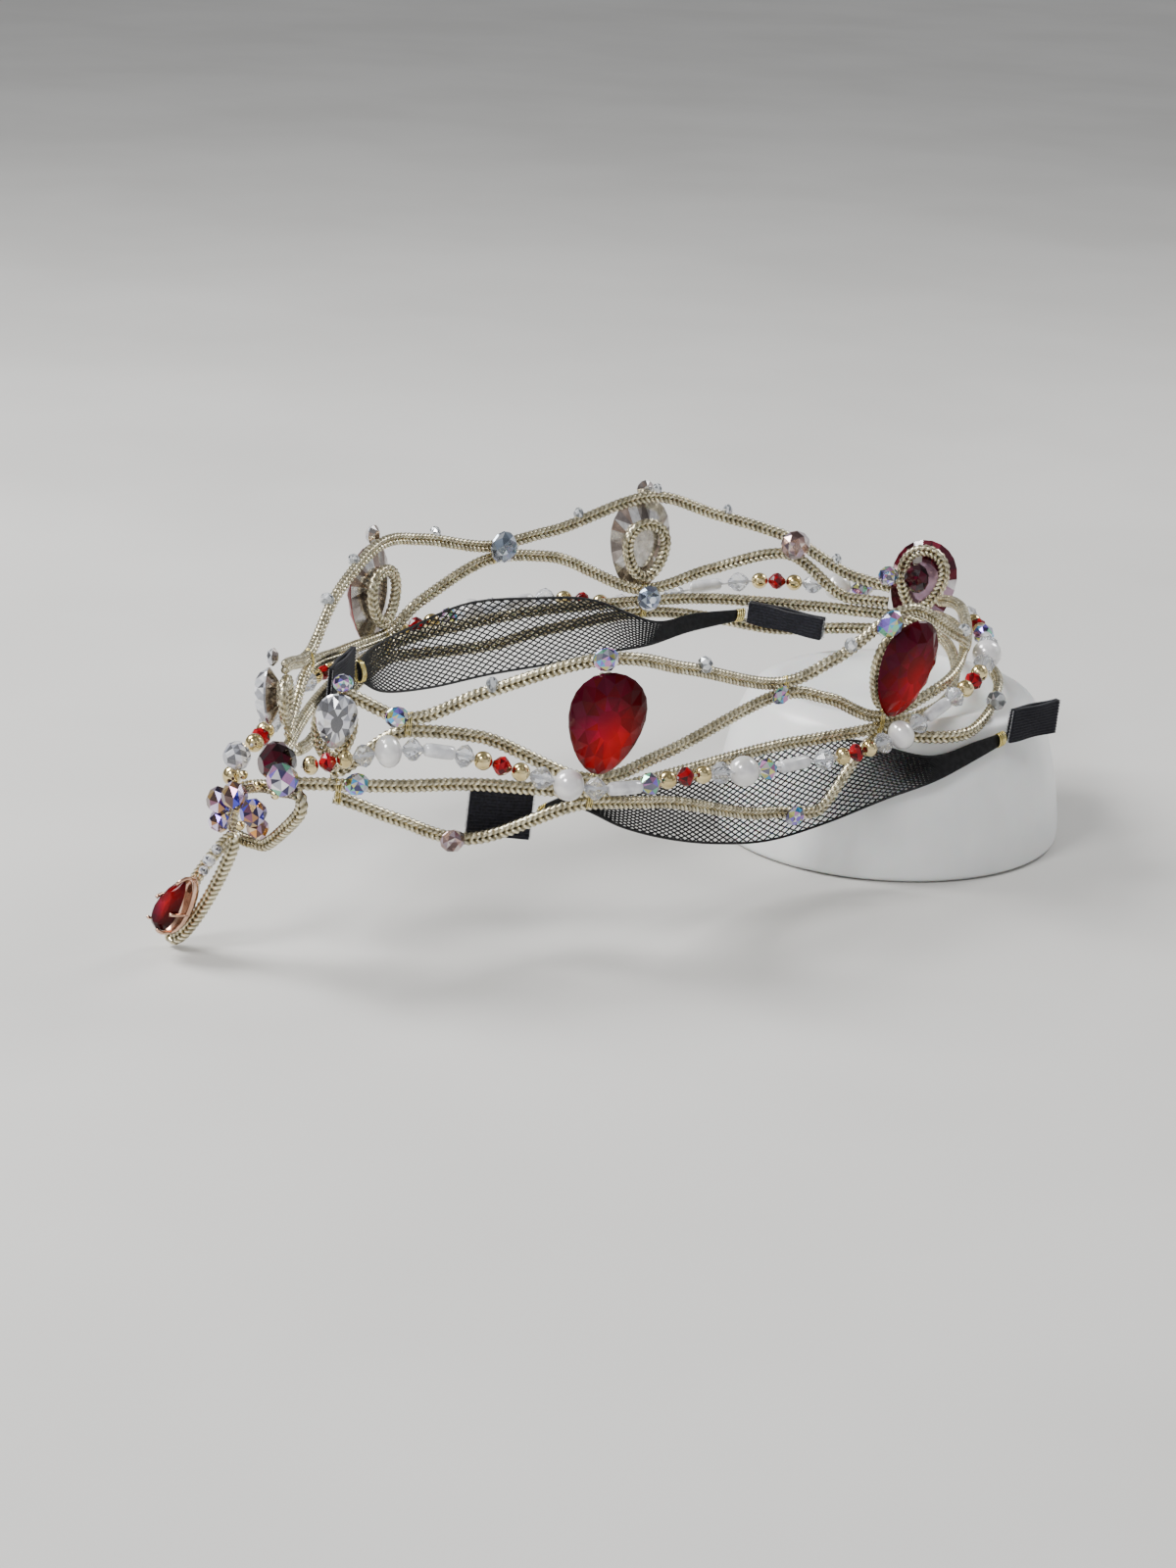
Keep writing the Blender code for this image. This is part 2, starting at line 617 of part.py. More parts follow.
def add_net(name, rows):
    """A ribbon of net as one thin closed wall."""
    rings = []
    steps = (len(rows) - 1) * NET_ROW_STEPS
    for k in range(steps + 1):
        place = k / NET_ROW_STEPS
        top, bottom = net_edges(rows, place)
        ahead = net_edges(rows, min(place + NET_HEADING_STEP, len(rows) - 1))[0]
        behind = net_edges(rows, max(place - NET_HEADING_STEP, 0))[0]
        normal = (ahead - behind).cross(bottom - top).normalized() * NET_WALL / 2
        one_side = [top.lerp(bottom, j / NET_ACROSS) + normal for j in range(NET_ACROSS + 1)]
        other_side = [top.lerp(bottom, j / NET_ACROSS) - normal for j in reversed(range(NET_ACROSS + 1))]
        rings.append(one_side + other_side)
    add_loft(name, rings, MATERIALS["net"])


def add_tabs():
    for row in TABS:
        mesh = bmesh.new()
        bmesh.ops.create_cube(mesh, size=1.0)
        bmesh.ops.scale(mesh, vec=Vector((row.length, row.thickness, row.width)) * MM, verts=mesh.verts)
        data = bpy.data.meshes.new(row.name)
        mesh.to_mesh(data)
        mesh.free()
        tab = link(bpy.data.objects.new(row.name, data), MATERIALS["ribbon"])
        turn = Matrix.Rotation(math.radians(row.turn), 4, "Z")
        place = (RING @ Matrix.Translation((row.x, row.y, row.z)) @ turn).copy()
        place.translation *= MM
        tab.matrix_world = place
        bevel = tab.modifiers.new("rounded edges", "BEVEL")
        bevel.width = TAB_BEVEL * MM
        bevel.segments = 2


def add_bowl():
    """The upturned bowl: a wall of even thickness round an open hollow."""
    top = BOWL_OUTSIDE[-1][1]
    inner = [(radius - BOWL_WALL, height - BOWL_WALL * height / top) for radius, height in BOWL_OUTSIDE]
    outline = [(0.0, top)] + list(reversed(BOWL_OUTSIDE)) + inner + [(0.0, inner[-1][1])]
    mesh = bmesh.new()
    corners = [mesh.verts.new((radius * MM, 0, height * MM)) for radius, height in outline]
    for before, after in zip(corners, corners[1:]):
        mesh.edges.new((before, after))
    data = bpy.data.meshes.new("bowl")
    mesh.to_mesh(data)
    mesh.free()
    bowl = link(bpy.data.objects.new("bowl", data), MATERIALS["bowl"])
    bowl.location = (BOWL_X * MM, BOWL_Y * MM, 0)
    turned = bowl.modifiers.new("turned", "SCREW")
    turned.steps = BOWL_STEPS
    turned.render_steps = BOWL_STEPS
    turned.use_merge_vertices = True
    turned.merge_threshold = MERGE_DISTANCE * MM


def build():
    add_bowl()
    add_cords()
    for row in RED_PEARS:
        names = ("pear_loop_" + row.name, "red_pear_" + row.name)
        size = (PEAR_LENGTH, PEAR_WIDTH, PEAR_DEPTH)
        add_pear_group(row, *names, size, LOOP_WIDTH, MATERIALS["red"])
    for row in CLEAR_PEARS:
        names = ("front_loop_" + row.name, "clear_pear_" + row.name)
        size = (CLEAR_LENGTH, CLEAR_WIDTH, CLEAR_DEPTH)
        add_pear_group(row, *names, size, SMALL_LOOP_WIDTH, MATERIALS["crystal"])
    add_stones()
    add_brow()
    add_drop()
    add_string("bead_string_near", NEAR_STRING_START, BACK - STRING_END_GAP, NEAR_STRETCH)
    add_string("bead_string_far", FAR_STRING_START, BACK + STRING_END_GAP, FAR_STRETCH)
    add_net("net_band_near", NET_NEAR)
    add_net("net_band_far", NET_FAR)
    add_tabs()


clear_scene()
PARTS = bpy.data.collections.new("ballet tiara")
bpy.context.scene.collection.children.link(PARTS)
MATERIALS = {name: make_material(name) for name in COLOURS}
build()
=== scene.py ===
"""Looks of the ballet tiara on its upturned bowl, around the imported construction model.

Sizes and places in the tables are millimetres, and MM turns them into metres. The ring of the tiara is
laid out in its own frame, as in the construction source: front -Y, near side +X, heights from the base band.
"""
import math
from bisect import bisect_left
from collections import namedtuple

import bmesh
import bpy
from mathutils import Matrix, Vector

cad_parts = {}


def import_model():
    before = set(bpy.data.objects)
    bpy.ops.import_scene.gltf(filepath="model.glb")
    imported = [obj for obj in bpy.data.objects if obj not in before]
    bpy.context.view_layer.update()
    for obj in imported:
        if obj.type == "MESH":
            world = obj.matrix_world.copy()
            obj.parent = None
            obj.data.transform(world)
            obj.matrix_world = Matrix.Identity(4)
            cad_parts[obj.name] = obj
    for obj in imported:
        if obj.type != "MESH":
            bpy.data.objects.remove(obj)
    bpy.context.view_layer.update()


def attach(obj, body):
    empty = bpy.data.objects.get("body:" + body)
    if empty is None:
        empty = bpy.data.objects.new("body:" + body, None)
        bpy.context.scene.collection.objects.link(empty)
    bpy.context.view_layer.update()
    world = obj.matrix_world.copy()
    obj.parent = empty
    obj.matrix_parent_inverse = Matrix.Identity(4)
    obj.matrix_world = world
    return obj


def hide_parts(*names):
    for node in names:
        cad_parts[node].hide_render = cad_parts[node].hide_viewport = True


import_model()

MM = 0.001
TURN = 2 * math.pi


def table(columns, rows):
    """Rows whose values are read by the names of their columns."""
    row_type = namedtuple("Row", columns)
    return [row_type(*row) for row in rows]


RING_X = -3.4
RING_Y = 8.0
RING_HEIGHT = 43.9
RING_TILT_DEG = 6.95
CROWN_FLARE = 0.12

CORD_RADIUS = 1.45
GAP = 0.3
KISS = 2 * CORD_RADIUS + GAP
SEAT = CORD_RADIUS + GAP

# Each row is one place round the ring, from the front along the near side to the back and home again.
# x and y place the base band. The heights are those of the cords there, and None means that the cord
# touches the one below it (middle on base, upper on middle) or above it (lower under base).
STATIONS = table("name x y base middle upper lower lower_out beads beads_out", (
    ("front", 5, -111, 0, None, 20, None, 0, 5.4, 5.8),
    ("clear_near", 13, -102, 0, None, 23.5, None, 0, 8.8, 5.8),
    ("valley_1", 21, -88, 0, 14.3, None, -8.7, 0, 12.2, 5.8),
    ("rise_1", 28, -72, 0, 12.4, 24, -14.5, 0, 9, 5.8),
    ("pear_1", 43, -50, 0, None, 34.4, None, 0, 3.4, 5.8),
    ("rise_2", 44.5, -30, 0, 6.5, 28.7, -6, 1.5, 2.6, 6.2),
    ("valley_2", 43.5, 6, 0, 14.6, None, -16.6, 3.5, -2, 7),
    ("rise_3", 45.5, 21, 0.3, 11.5, 22.5, -18, 5, -2, 7),
    ("pear_2", 48.5, 38.5, 1.2, None, 33.6, None, 0, 0.9, 6.5),
    ("rise_4", 49, 58, 3, 9.5, 23.3, 0.4, 11, 10, 5.8),
    ("valley_3", 38.5, 76, 3.6, 11.5, None, 3.8, 11, 12.4, 5.8),
    ("rise_5", 17, 97, 1.4, 7, 12.3, 1.6, 4, 7.5, 5.8),
    ("pear_3", -2, 104, 0, None, 6.8, None, 0, 6, 5.8),
    ("rise_6", -15, 93, 0, None, 9.2, -5, 0, 4, 5.8),
    ("valley_4", -27, 78, 0, 13.6, 18.2, -7, 0, 4, 5.8),
    ("rise_7", -38, 62, 0, 8, 22.8, -5, 0, 1.2, 5.8),
    ("pear_4", -44, 44, 0, None, 28, None, 0, -2.9, 5.8),
    ("rise_8", -50, 16, 0, 14, 20.8, -5.5, 0, 0.8, 5.8),
    ("valley_5", -51, -2, 0, 16, None, -7, 0, 0, 5.8),
    ("rise_9", -50, -26, 0, 9, 24.6, -5, 0, -0.4, 5.8),
    ("pear_5", -47, -40, 0, None, 26.9, None, 0, -2.9, 5.8),
    ("rise_10", -37, -61, 0, 6, 21.5, -6, 0, -0.5, 5.8),
    ("valley_6", -24, -80, 0, 10, None, -8, 0, 1, 5.8),
    ("clear_far", -8.5, -97.5, 0, None, 19, None, 0, 2, 5.8),
))
INDEX = {row.name: number for number, row in enumerate(STATIONS)}
BACK = INDEX["pear_3"]
CLEAR_FAR = INDEX["clear_far"]

BACK_CLEARANCE = 0.45
HEM_START_NEAR = 0.1
HEM_END_NEAR = 0.3
HEM_END_FAR = 0.45
NEAR_STRING_START = 0.5
FAR_STRING_START = len(STATIONS) - 0.5
STRING_END_GAP = 0.6

# Pears: how far the tip stands over the base band, the loop's span of heights behind it, and how far
# the two are turned about their own height.
PEAR_COLUMNS = "name station tip loop_low loop_high turn"
RED_PEARS = table(PEAR_COLUMNS, (
    ("1", "pear_1", 6.8, 7, 29.5, -12),
    ("2", "pear_2", 6.4, 7.8, 28, 0),
    ("3", "pear_3", -5, 3.4, 19.5, 26),
    ("4", "pear_4", 1, 6.5, 20.8, 0),
    ("5", "pear_5", -0.4, 6.5, 19.8, 0),
))
CLEAR_PEARS = table(PEAR_COLUMNS, (
    ("near", "clear_near", 11.6, 7, 20.6, 0),
    ("far", "clear_far", 4.8, 6.5, 15.6, 0),
))
# Length, width and depth of the stones.
PEAR_SIZE = (26.5, 19, 5.5)
CLEAR_SIZE = (14, 10, 5)
LOOP_WIDTH = 12.0
SMALL_LOOP_WIDTH = 8.0

# Small stones: station, offset along the ring in stations, cord they sit on, side (+1 outside, -1 inside),
# extra height, diameter and material.
STONES = table("name station along cord side lift diameter finish", (
    ("peak_stone_1", "pear_1", -0.1, "upper", 1, 1.7, 6, "aurora"),
    ("peak_stone_2", "pear_2", -0.4, "upper", 1, 2.1, 7.4, "aurora"),
    ("peak_stone_4", "pear_4", 0, "upper", 1, 1.4, 5, "crystal"),
    ("peak_stone_5", "pear_5", 0, "upper", 1, 1.6, 5, "crystal"),
    ("valley_stone_1", "valley_1", -0.2, "upper", 1, 1.4, 5.4, "aurora"),
    ("valley_stone_2", "valley_2", -0.12, "upper", 1, -1.6, 5, "aurora"),
    ("valley_stone_4", "valley_4", -0.1, "upper", -1, -0.6, 8, "blush"),
    ("valley_stone_5", "valley_5", 0, "upper", -1, 0.4, 8.4, "smoke"),
    ("hem_stone_1", "rise_1", -0.2, "lower", 1, 1, 6, "blush"),
    ("hem_stone_2", "valley_2", 0.42, "lower", 1, 1, 5.4, "aurora"),
    ("brow_stone_near", "clear_near", 0.38, "base", 1, 2.2, 5.8, "aurora"),
    ("crest_stone_near", "clear_near", 0.05, "upper", 1, 4.1, 4.6, "aurora"),
    ("crest_stone_far", "clear_far", -0.05, "upper", 1, 2.2, 4.4, "crystal"),
    ("inside_stone_4", "pear_4", 0, "base", -1, 1.6, 7, "smoke"),
    ("inside_stone_3", "pear_3", -0.05, "upper", -1, 5.4, 8, "garnet"),
    ("inside_crystal_3", "pear_3", 0.52, "upper", -1, 3.4, 5.6, "aurora"),
))
STONE_DEPTH_RATIO = 0.52

# The cluster at the brow, in the ring frame: centre, diameter, finish, and the tones and sides of the cut.
CLUSTER = table("name x y z diameter finish tones sides", (
    ("garnet_stone", 9.2, -114, 6.3, 8.6, "garnet", "garnet", 10),
    ("cluster_crystal_near", 16.8, -118, 6, 7, "aurora", "aurora", 8),
    ("cluster_crystal_far", -5.5, -114.2, 1.9, 6.2, "crystal", "crystal", 14),
    ("cluster_gold", -7, -114, -3.7, 4.8, "gold", None, 16),
    ("cluster_aurora_far", -4.2, -119, -7.6, 6, "aurora", "violet", 6),
    ("cluster_aurora_mid", 1.6, -119.3, -4, 6, "aurora", "violet", 6),
    ("cluster_aurora_near", 9.9, -120, -4.5, 6, "aurora", "violet", 8),
    ("cluster_amber", 8.3, -117.3, -9.4, 5, "amber", "amber", 6),
    ("cluster_violet", -4.1, -118.8, -12.8, 4.8, "aurora", "violet", 6),
))

# The loop below the brow hangs in an upright plane, as x and height.
BROW_LOOP_Y = -114.2
BROW_LOOP = ((4.6, -1.4), (11, 0.2), (17.8, 2), (19.4, -0.8), (16.5, -5.4), (8.7, -13.7), (4.4, -15.6),
             (-3.1, -16.8), (-5.4, -13.1), (-3.3, -5.8))

# The forehead drop, in the ring frame: top and tip of its loop, and the stone's place along it.
DROP_TOP = (1, -118, -14.6)
DROP_TIP = (-10.6, -125, -43.6)
DROP_LOOP_WIDTH = 6.6
DROP_STONE_SIZE = (15, 7, 4)
DROP_SETTING_RIM = 0.8
DROP_SETTING_DEPTH = 3.0
DROP_STONE_FROM_TIP = 2.6

# One repeat of the bead string, threaded from the front: each bead's length, greatest radius and finish.
BEAD_REPEAT = table("kind length radius finish", (
    ("ball", 4.6, 2.2, "gold"),
    ("bicone", 4.8, 2.4, "red_bead"),
    ("ball", 4.6, 2.2, "gold"),
    ("bicone", 5.8, 2.8, "clear_bead"),
    ("pearl", 7.6, 3.7, "pearl"),
    ("bicone", 5.8, 2.8, "clear_bead"),
    ("tube", 9.4, 1.9, "satin"),
    ("bicone", 5.8, 2.8, "clear_bead"),
))
# How far each repeat is stretched along its string. The last value holds for the rest.
NEAR_STRETCH = (0.82, 0.96, 1.2, 0.82, 1.0)
FAR_STRETCH = (1.1, 0.86, 1.1, 1.2, 1.0)
THREAD_SAMPLES_PER_ROW = 12

# The crinoline bands, in the ring frame. Each fold has the x, y and height of its top edge, then those of
# its bottom edge.
NET_NEAR = (
    (32.6, -55.6, -7.4, 32.2, -55.9, -11),
    (39, -50.5, -2, 38.6, -50.5, -5.6),
    (40.2, -36, -2.6, 41, -36, -13),
    (39.8, -20, -3.6, 41, -20, -19.5),
    (39, -4, -4, 41.4, -4, -24),
    (39.2, 12, -3.8, 43, 12, -26),
    (40.2, 28, -3.6, 46, 28, -23.5),
    (44.4, 39.4, -4.6, 54, 39.4, -16),
    (56.6, 50, -5.8, 60.2, 49.4, -10.6),
    (60.4, 63, -2.8, 62.2, 62, -6),
    (61.8, 70.2, -1.4, 62, 70.2, -4),
)
NET_FAR = (
    (-34.4, -58.6, 3.6, -33.4, -58.4, 0),
    (-41.6, -48, 3.6, -34, -50, -5),
    (-45.2, -34, 5, -37.6, -32, -8.6),
    (-47, -14, 7.6, -39, -12, -9.2),
    (-46.6, 8, 5.6, -38.4, 8, -9.6),
    (-44.4, 26, 3, -36.6, 26, -8.8),
    (-37, 42, -3, -33.6, 38, -7.6),
    (-34, 54, -1.8, -32, 51, -5.2),
    (-28.2, 66.8, -0.6, -28.4, 66.4, -3),
)

# Ribbon tabs, in the ring frame: centre, length along its run, width, thickness and turn about the height.
TABS = table("name x y z length thickness width turn", (
    ("ribbon_tab_near_front", 27.5, -62.9, -9.4, 15, 2, 12, 56),
    ("ribbon_tab_near_back", 63.2, 79.4, 1, 17, 2, 9, 88),
    ("ribbon_tab_far_front", -29, -67.5, 2.5, 17, 2, 13, -56),
    ("ribbon_tab_far_back", -18.5, 72.6, -0.8, 21, 3.2, 6, 29),
))

BOWL_X = 18.6
BOWL_Y = 80.0
# The outside of the upturned bowl, from its rim to its top, as radius and height.
BOWL_OUTSIDE = ((44.3, 0), (44.5, 4), (43.2, 15), (40.6, 26), (37.2, 34), (34.4, 36.8), (31.4, 38))
BOWL_WALL = 2.6

RING_TILT = Matrix.Rotation(math.radians(RING_TILT_DEG), 4, "Y")
RING = Matrix.Translation((RING_X, RING_Y, RING_HEIGHT)) @ RING_TILT


def slope(values, number):
    """Slope of a smooth track through the rows that never passes beyond its highs and lows."""
    before = values[number] - values[number - 1]
    after = values[(number + 1) % len(values)] - values[number]
    if before * after <= 0:
        return 0.0
    return 2 * before * after / (before + after)


def hermite(start, end, start_slope, end_slope, t):
    return (
        start * (2 * t**3 - 3 * t**2 + 1)
        + end * (3 * t**2 - 2 * t**3)
        + start_slope * (t**3 - 2 * t**2 + t)
        + end_slope * (t**3 - t**2)
    )


def track(values, place):
    """Read a column of the station table between its rows."""
    number = math.floor(place) % len(values)
    following = (number + 1) % len(values)
    part = place - math.floor(place)
    return hermite(values[number], values[following], slope(values, number), slope(values, following), part)


def neighbours(rows, number, closed=False):
    """A row with the one before it and the two after it. An open line repeats its end rows."""
    count = len(rows)
    places = range(number - 1, number + 3)
    return [rows[place % count if closed else min(max(place, 0), count - 1)] for place in places]


def smooth(rows, part):
    """A place between the middle two of four rows, on a smooth curve through them."""
    before, start, end, after = [Vector(row) for row in rows]
    return hermite(start, end, (end - before) / 2, (after - start) / 2, part)


def plan(place):
    """The base band's place and its outward direction, on a closed smooth curve through the stations."""
    number = math.floor(place)
    part = place - number
    before, start, end, after = [Vector((row.x, row.y)) for row in neighbours(STATIONS, number, True)]
    enter = (end - before) / 2
    leave = (after - start) / 2
    point = hermite(start, end, enter, leave, part)
    heading = (
        start * (6 * part**2 - 6 * part)
        + end * (6 * part - 6 * part**2)
        + enter * (3 * part**2 - 4 * part + 1)
        + leave * (3 * part**2 - 2 * part)
    )
    return point, Vector((heading.y, -heading.x)).normalized()


HEIGHTS = {"base": [row.base for row in STATIONS], "beads": [row.beads for row in STATIONS]}
OFFSETS = {"lower": [row.lower_out for row in STATIONS], "beads": [row.beads_out for row in STATIONS]}
for cord, beside, step in (("middle", "base", KISS), ("upper", "middle", KISS), ("lower", "base", -KISS)):
    own = [getattr(row, cord) for row in STATIONS]
    HEIGHTS[cord] = [near + step if value is None else value for value, near in zip(own, HEIGHTS[beside])]


def crown_point(place, height, out=0.0):
    """A point on the crown's surface, in the ring frame."""
    point, outward = plan(place)
    spread = point + outward * (out + CROWN_FLARE * height)
    return Vector((spread.x, spread.y, height))


def cord_place(cord, place):
    """A cord's height at a place, and how far outside the crown's surface it lies."""
    return track(HEIGHTS[cord], place), track(OFFSETS[cord], place) if cord in OFFSETS else 0.0


def cord_point(cord, place):
    return crown_point(place, *cord_place(cord, place))


# A pear's outline is an ellipse made narrower toward its tip: the share of the width left at the tip,
# and the factor that brings the widest place back to the full width.
PEAR_TIP_SHARE = 0.62
PEAR_FULLNESS = 1.12


def pear_outline(length, width, count):
    """A pear shape with its tip at the origin and its round end up, as x and height."""
    outline = []
    for k in range(count):
        angle = TURN * k / count
        rise = (1 - math.cos(angle)) / 2
        swell = math.sin(angle) * (PEAR_TIP_SHARE + (1 - PEAR_TIP_SHARE) * rise)
        outline.append((swell * width / 2 * PEAR_FULLNESS, length * rise))
    return outline


def place_frame(place, height, out=0.0):
    """Origin, along, outward and up directions of the crown's surface at a place."""
    origin = crown_point(place, height, out)
    _, outward = plan(place)
    lean = Vector((outward.x * CROWN_FLARE, outward.y * CROWN_FLARE, 1)).normalized()
    along = lean.cross(Vector((outward.x, outward.y, 0))).normalized()
    facing = along.cross(lean).normalized()
    return origin, along, facing, lean


def distances(points):
    """How far along a line each of its points is."""
    runs = [0.0]
    for before, after in zip(points, points[1:]):
        runs.append(runs[-1] + (after - before).length)
    return runs


def locate(runs, distance):
    """The stretch of a line that holds a distance along it, and the share of that stretch before it."""
    number = min(max(bisect_left(runs, distance) - 1, 0), len(runs) - 2)
    return number, (distance - runs[number]) / (runs[number + 1] - runs[number])


def threaded_beads(thread_length, stretch):
    """The beads that a thread holds, each as where it starts, its own length and its row."""
    beads = []
    distance = GAP
    while True:
        repeat, number = divmod(len(beads), len(BEAD_REPEAT))
        row = BEAD_REPEAT[number]
        length = row.length * stretch[min(repeat, len(stretch) - 1)]
        if distance + length > thread_length - GAP:
            return beads
        beads.append((distance, length, row))
        distance += length


def net_edges(rows, place):
    """A net band's top and bottom edge at a place along its folds."""
    number = min(int(place), len(rows) - 2)
    near = neighbours(rows, number)
    return [smooth([row[first:first + 3] for row in near], place - number) for first in (0, 3)]


# Meshes. Points are in the part's frame, in millimetres, until a piece is made.

WHITE = (1.0, 1.0, 1.0)


class Shape:
    """The points and faces of one piece while it is being made."""

    def __init__(self):
        self.points = []
        self.faces = []
        self.slots = []
        self.smooth = []
        self.colours = []

    def add_facets(self, points, corners, slots, tones, smooth=False):
        """Add faces, each with a slot of its own. tones is a list of corner colours for each face."""
        first = len(self.points)
        self.points += points
        self.faces += [[first + corner for corner in face] for face in corners]
        self.slots += slots
        self.smooth += [smooth] * len(corners)
        for tone in [tone for face in tones for tone in face]:
            self.colours += (*tone, 1.0)

    def add(self, points, corners, slot=0, tones=None):
        """Add smooth faces in one slot. tones is one colour for each point, or None for white."""
        colours = [[tones[corner] if tones else WHITE for corner in face] for face in corners]
        self.add_facets(points, corners, [slot] * len(corners), colours, True)

    def make(self, name, materials, replaced=()):
        mesh = bpy.data.meshes.new(name)
        mesh.from_pydata([tuple(point * MM) for point in self.points], [], self.faces)
        for material in materials:
            mesh.materials.append(MATERIALS[material])
        mesh.polygons.foreach_set("material_index", self.slots)
        mesh.polygons.foreach_set("use_smooth", self.smooth)
        layer = mesh.color_attributes.new("tone", "FLOAT_COLOR", "CORNER")
        layer.data.foreach_set("color", self.colours)
        editable = bmesh.new()
        editable.from_mesh(mesh)
        bmesh.ops.recalc_face_normals(editable, faces=editable.faces)
        editable.to_mesh(mesh)
        editable.free()
        piece = bpy.data.objects.new(name, mesh)
        bpy.context.scene.collection.objects.link(piece)
        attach(piece, "root")
        if replaced:
            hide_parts(*replaced)


def world(point):
    """A ring-frame point in the part's frame."""
    return RING @ Vector(point)


def world_direction(direction):
    return (RING.to_3x3() @ Vector(direction)).normalized()


# Factors without a pattern, which spread the seeds over the whole range.
CHANCE_FACTORS = (12.9898, 78.233, 37.719)
CHANCE_SCALE = 43758.5453


def chance(*seeds):
    """A number from 0 to 1 that is the same for the same seeds."""
    mixed = sum(seed * factor for seed, factor in zip(seeds, CHANCE_FACTORS))
    return math.sin(mixed) * CHANCE_SCALE % 1.0


def skin(count, sides, closed=False):
    """The faces over rings of points, with both ends filled unless they join."""
    faces = []
    for row in range(count if closed else count - 1):
        here = row * sides
        there = (row + 1) % count * sides
        for side in range(sides):
            ahead = (side + 1) % sides
            faces.append((here + side, here + ahead, there + ahead, there + side))
    if not closed:
        faces.append(tuple(reversed(range(sides))))
        faces.append(tuple(range((count - 1) * sides, count * sides)))
    return faces


def spokes(heading, sides, shift=0.0, first=None):
    """Unit directions round a heading."""
    side = first or heading.orthogonal()
    side = (side - heading * side.dot(heading)).normalized()
    rise = heading.cross(side)
    angles = [TURN * (k + shift) / sides for k in range(sides)]
    return [side * math.cos(angle) + rise * math.sin(angle) for angle in angles]


def add_turned(shape, centre, heading, profile, sides, slot=0):
    """A smooth bead. profile holds runs along the hole with the radius there."""
    around = spokes(heading, sides)
    points = [centre + heading * run + spoke * radius for run, radius in profile for spoke in around]
    shape.add(points, skin(len(profile), sides), slot)


def add_tube(shape, points, radius, sides, slot=0):
    """A round wire or thread."""
    rings = []
    side = (points[1] - points[0]).orthogonal()
    for k, point in enumerate(points):
        heading = (points[min(k + 1, len(points) - 1)] - points[max(k - 1, 0)]).normalized()
        around = spokes(heading, sides, first=side)
        side = around[0]
        rings.extend(point + spoke * radius for spoke in around)
    shape.add(rings, skin(len(points), sides), slot)


def stagger_faces(here, there, sides, leaning):
    """Triangles between two rings of which one is turned half a step."""
    faces = []
    for k in range(sides):
        ahead = (k + 1) % sides
        if leaning:
            faces.append((here + k, here + ahead, there + ahead))
            faces.append((here + k, there + ahead, there + k))
        else:
            faces.append((here + k, here + ahead, there + k))
            faces.append((here + ahead, there + ahead, there + k))
    return faces


def add_faceted(shape, centre, heading, tiers, sides, palette, seed, slot=0):
    """A cut bead. tiers holds run, radius and half-step turn of each ring round the hole."""
    points = []
    faces = []
    for number, (run, radius, shift) in enumerate(tiers):
        points.extend(centre + heading * run + spoke * radius for spoke in spokes(heading, sides, shift))
        if number:
            here = (number - 1) * sides
            faces += stagger_faces(here, here + sides, sides, tiers[number - 1][2] > 0)
    faces.append(tuple(reversed(range(sides))))
    faces.append(tuple(range(len(points) - sides, len(points))))
    # Each facet's tone from the palette, with painted highlights and reflections among them.
    tones = [[pick(palette, seed, k)] * len(face) for k, face in enumerate(faces)]
    shape.add_facets(points, faces, [slot] * len(faces), tones)


def pick(palette, *seeds):
    tones = TONES_WITH_PAINTED_REFLECTIONS[palette]
    return tones[int(chance(*seeds) * len(tones))]


# Rings of a cut bead along its hole: share of the half length or the length, share of the radius, and turn.
BALL_SHARES = ((-0.86, 0.42, 0), (-0.42, 0.9, 0.5), (0, 1, 0), (0.42, 0.9, 0.5), (0.86, 0.42, 0))
BICONE_SHARES = ((-0.5, 0.25, 0), (-0.22, 0.8, 0.5), (0, 1, 0), (0.22, 0.8, 0.5), (0.5, 0.25, 0))
CUT_SIDES = 8


def ball_tiers(diameter, stretch):
    half = diameter / 2
    return [(level * stretch * half, scale * half, turn) for level, scale, turn in BALL_SHARES]


def bicone_tiers(length, radius):
    return [(level * length, scale * radius, turn) for level, scale, turn in BICONE_SHARES]
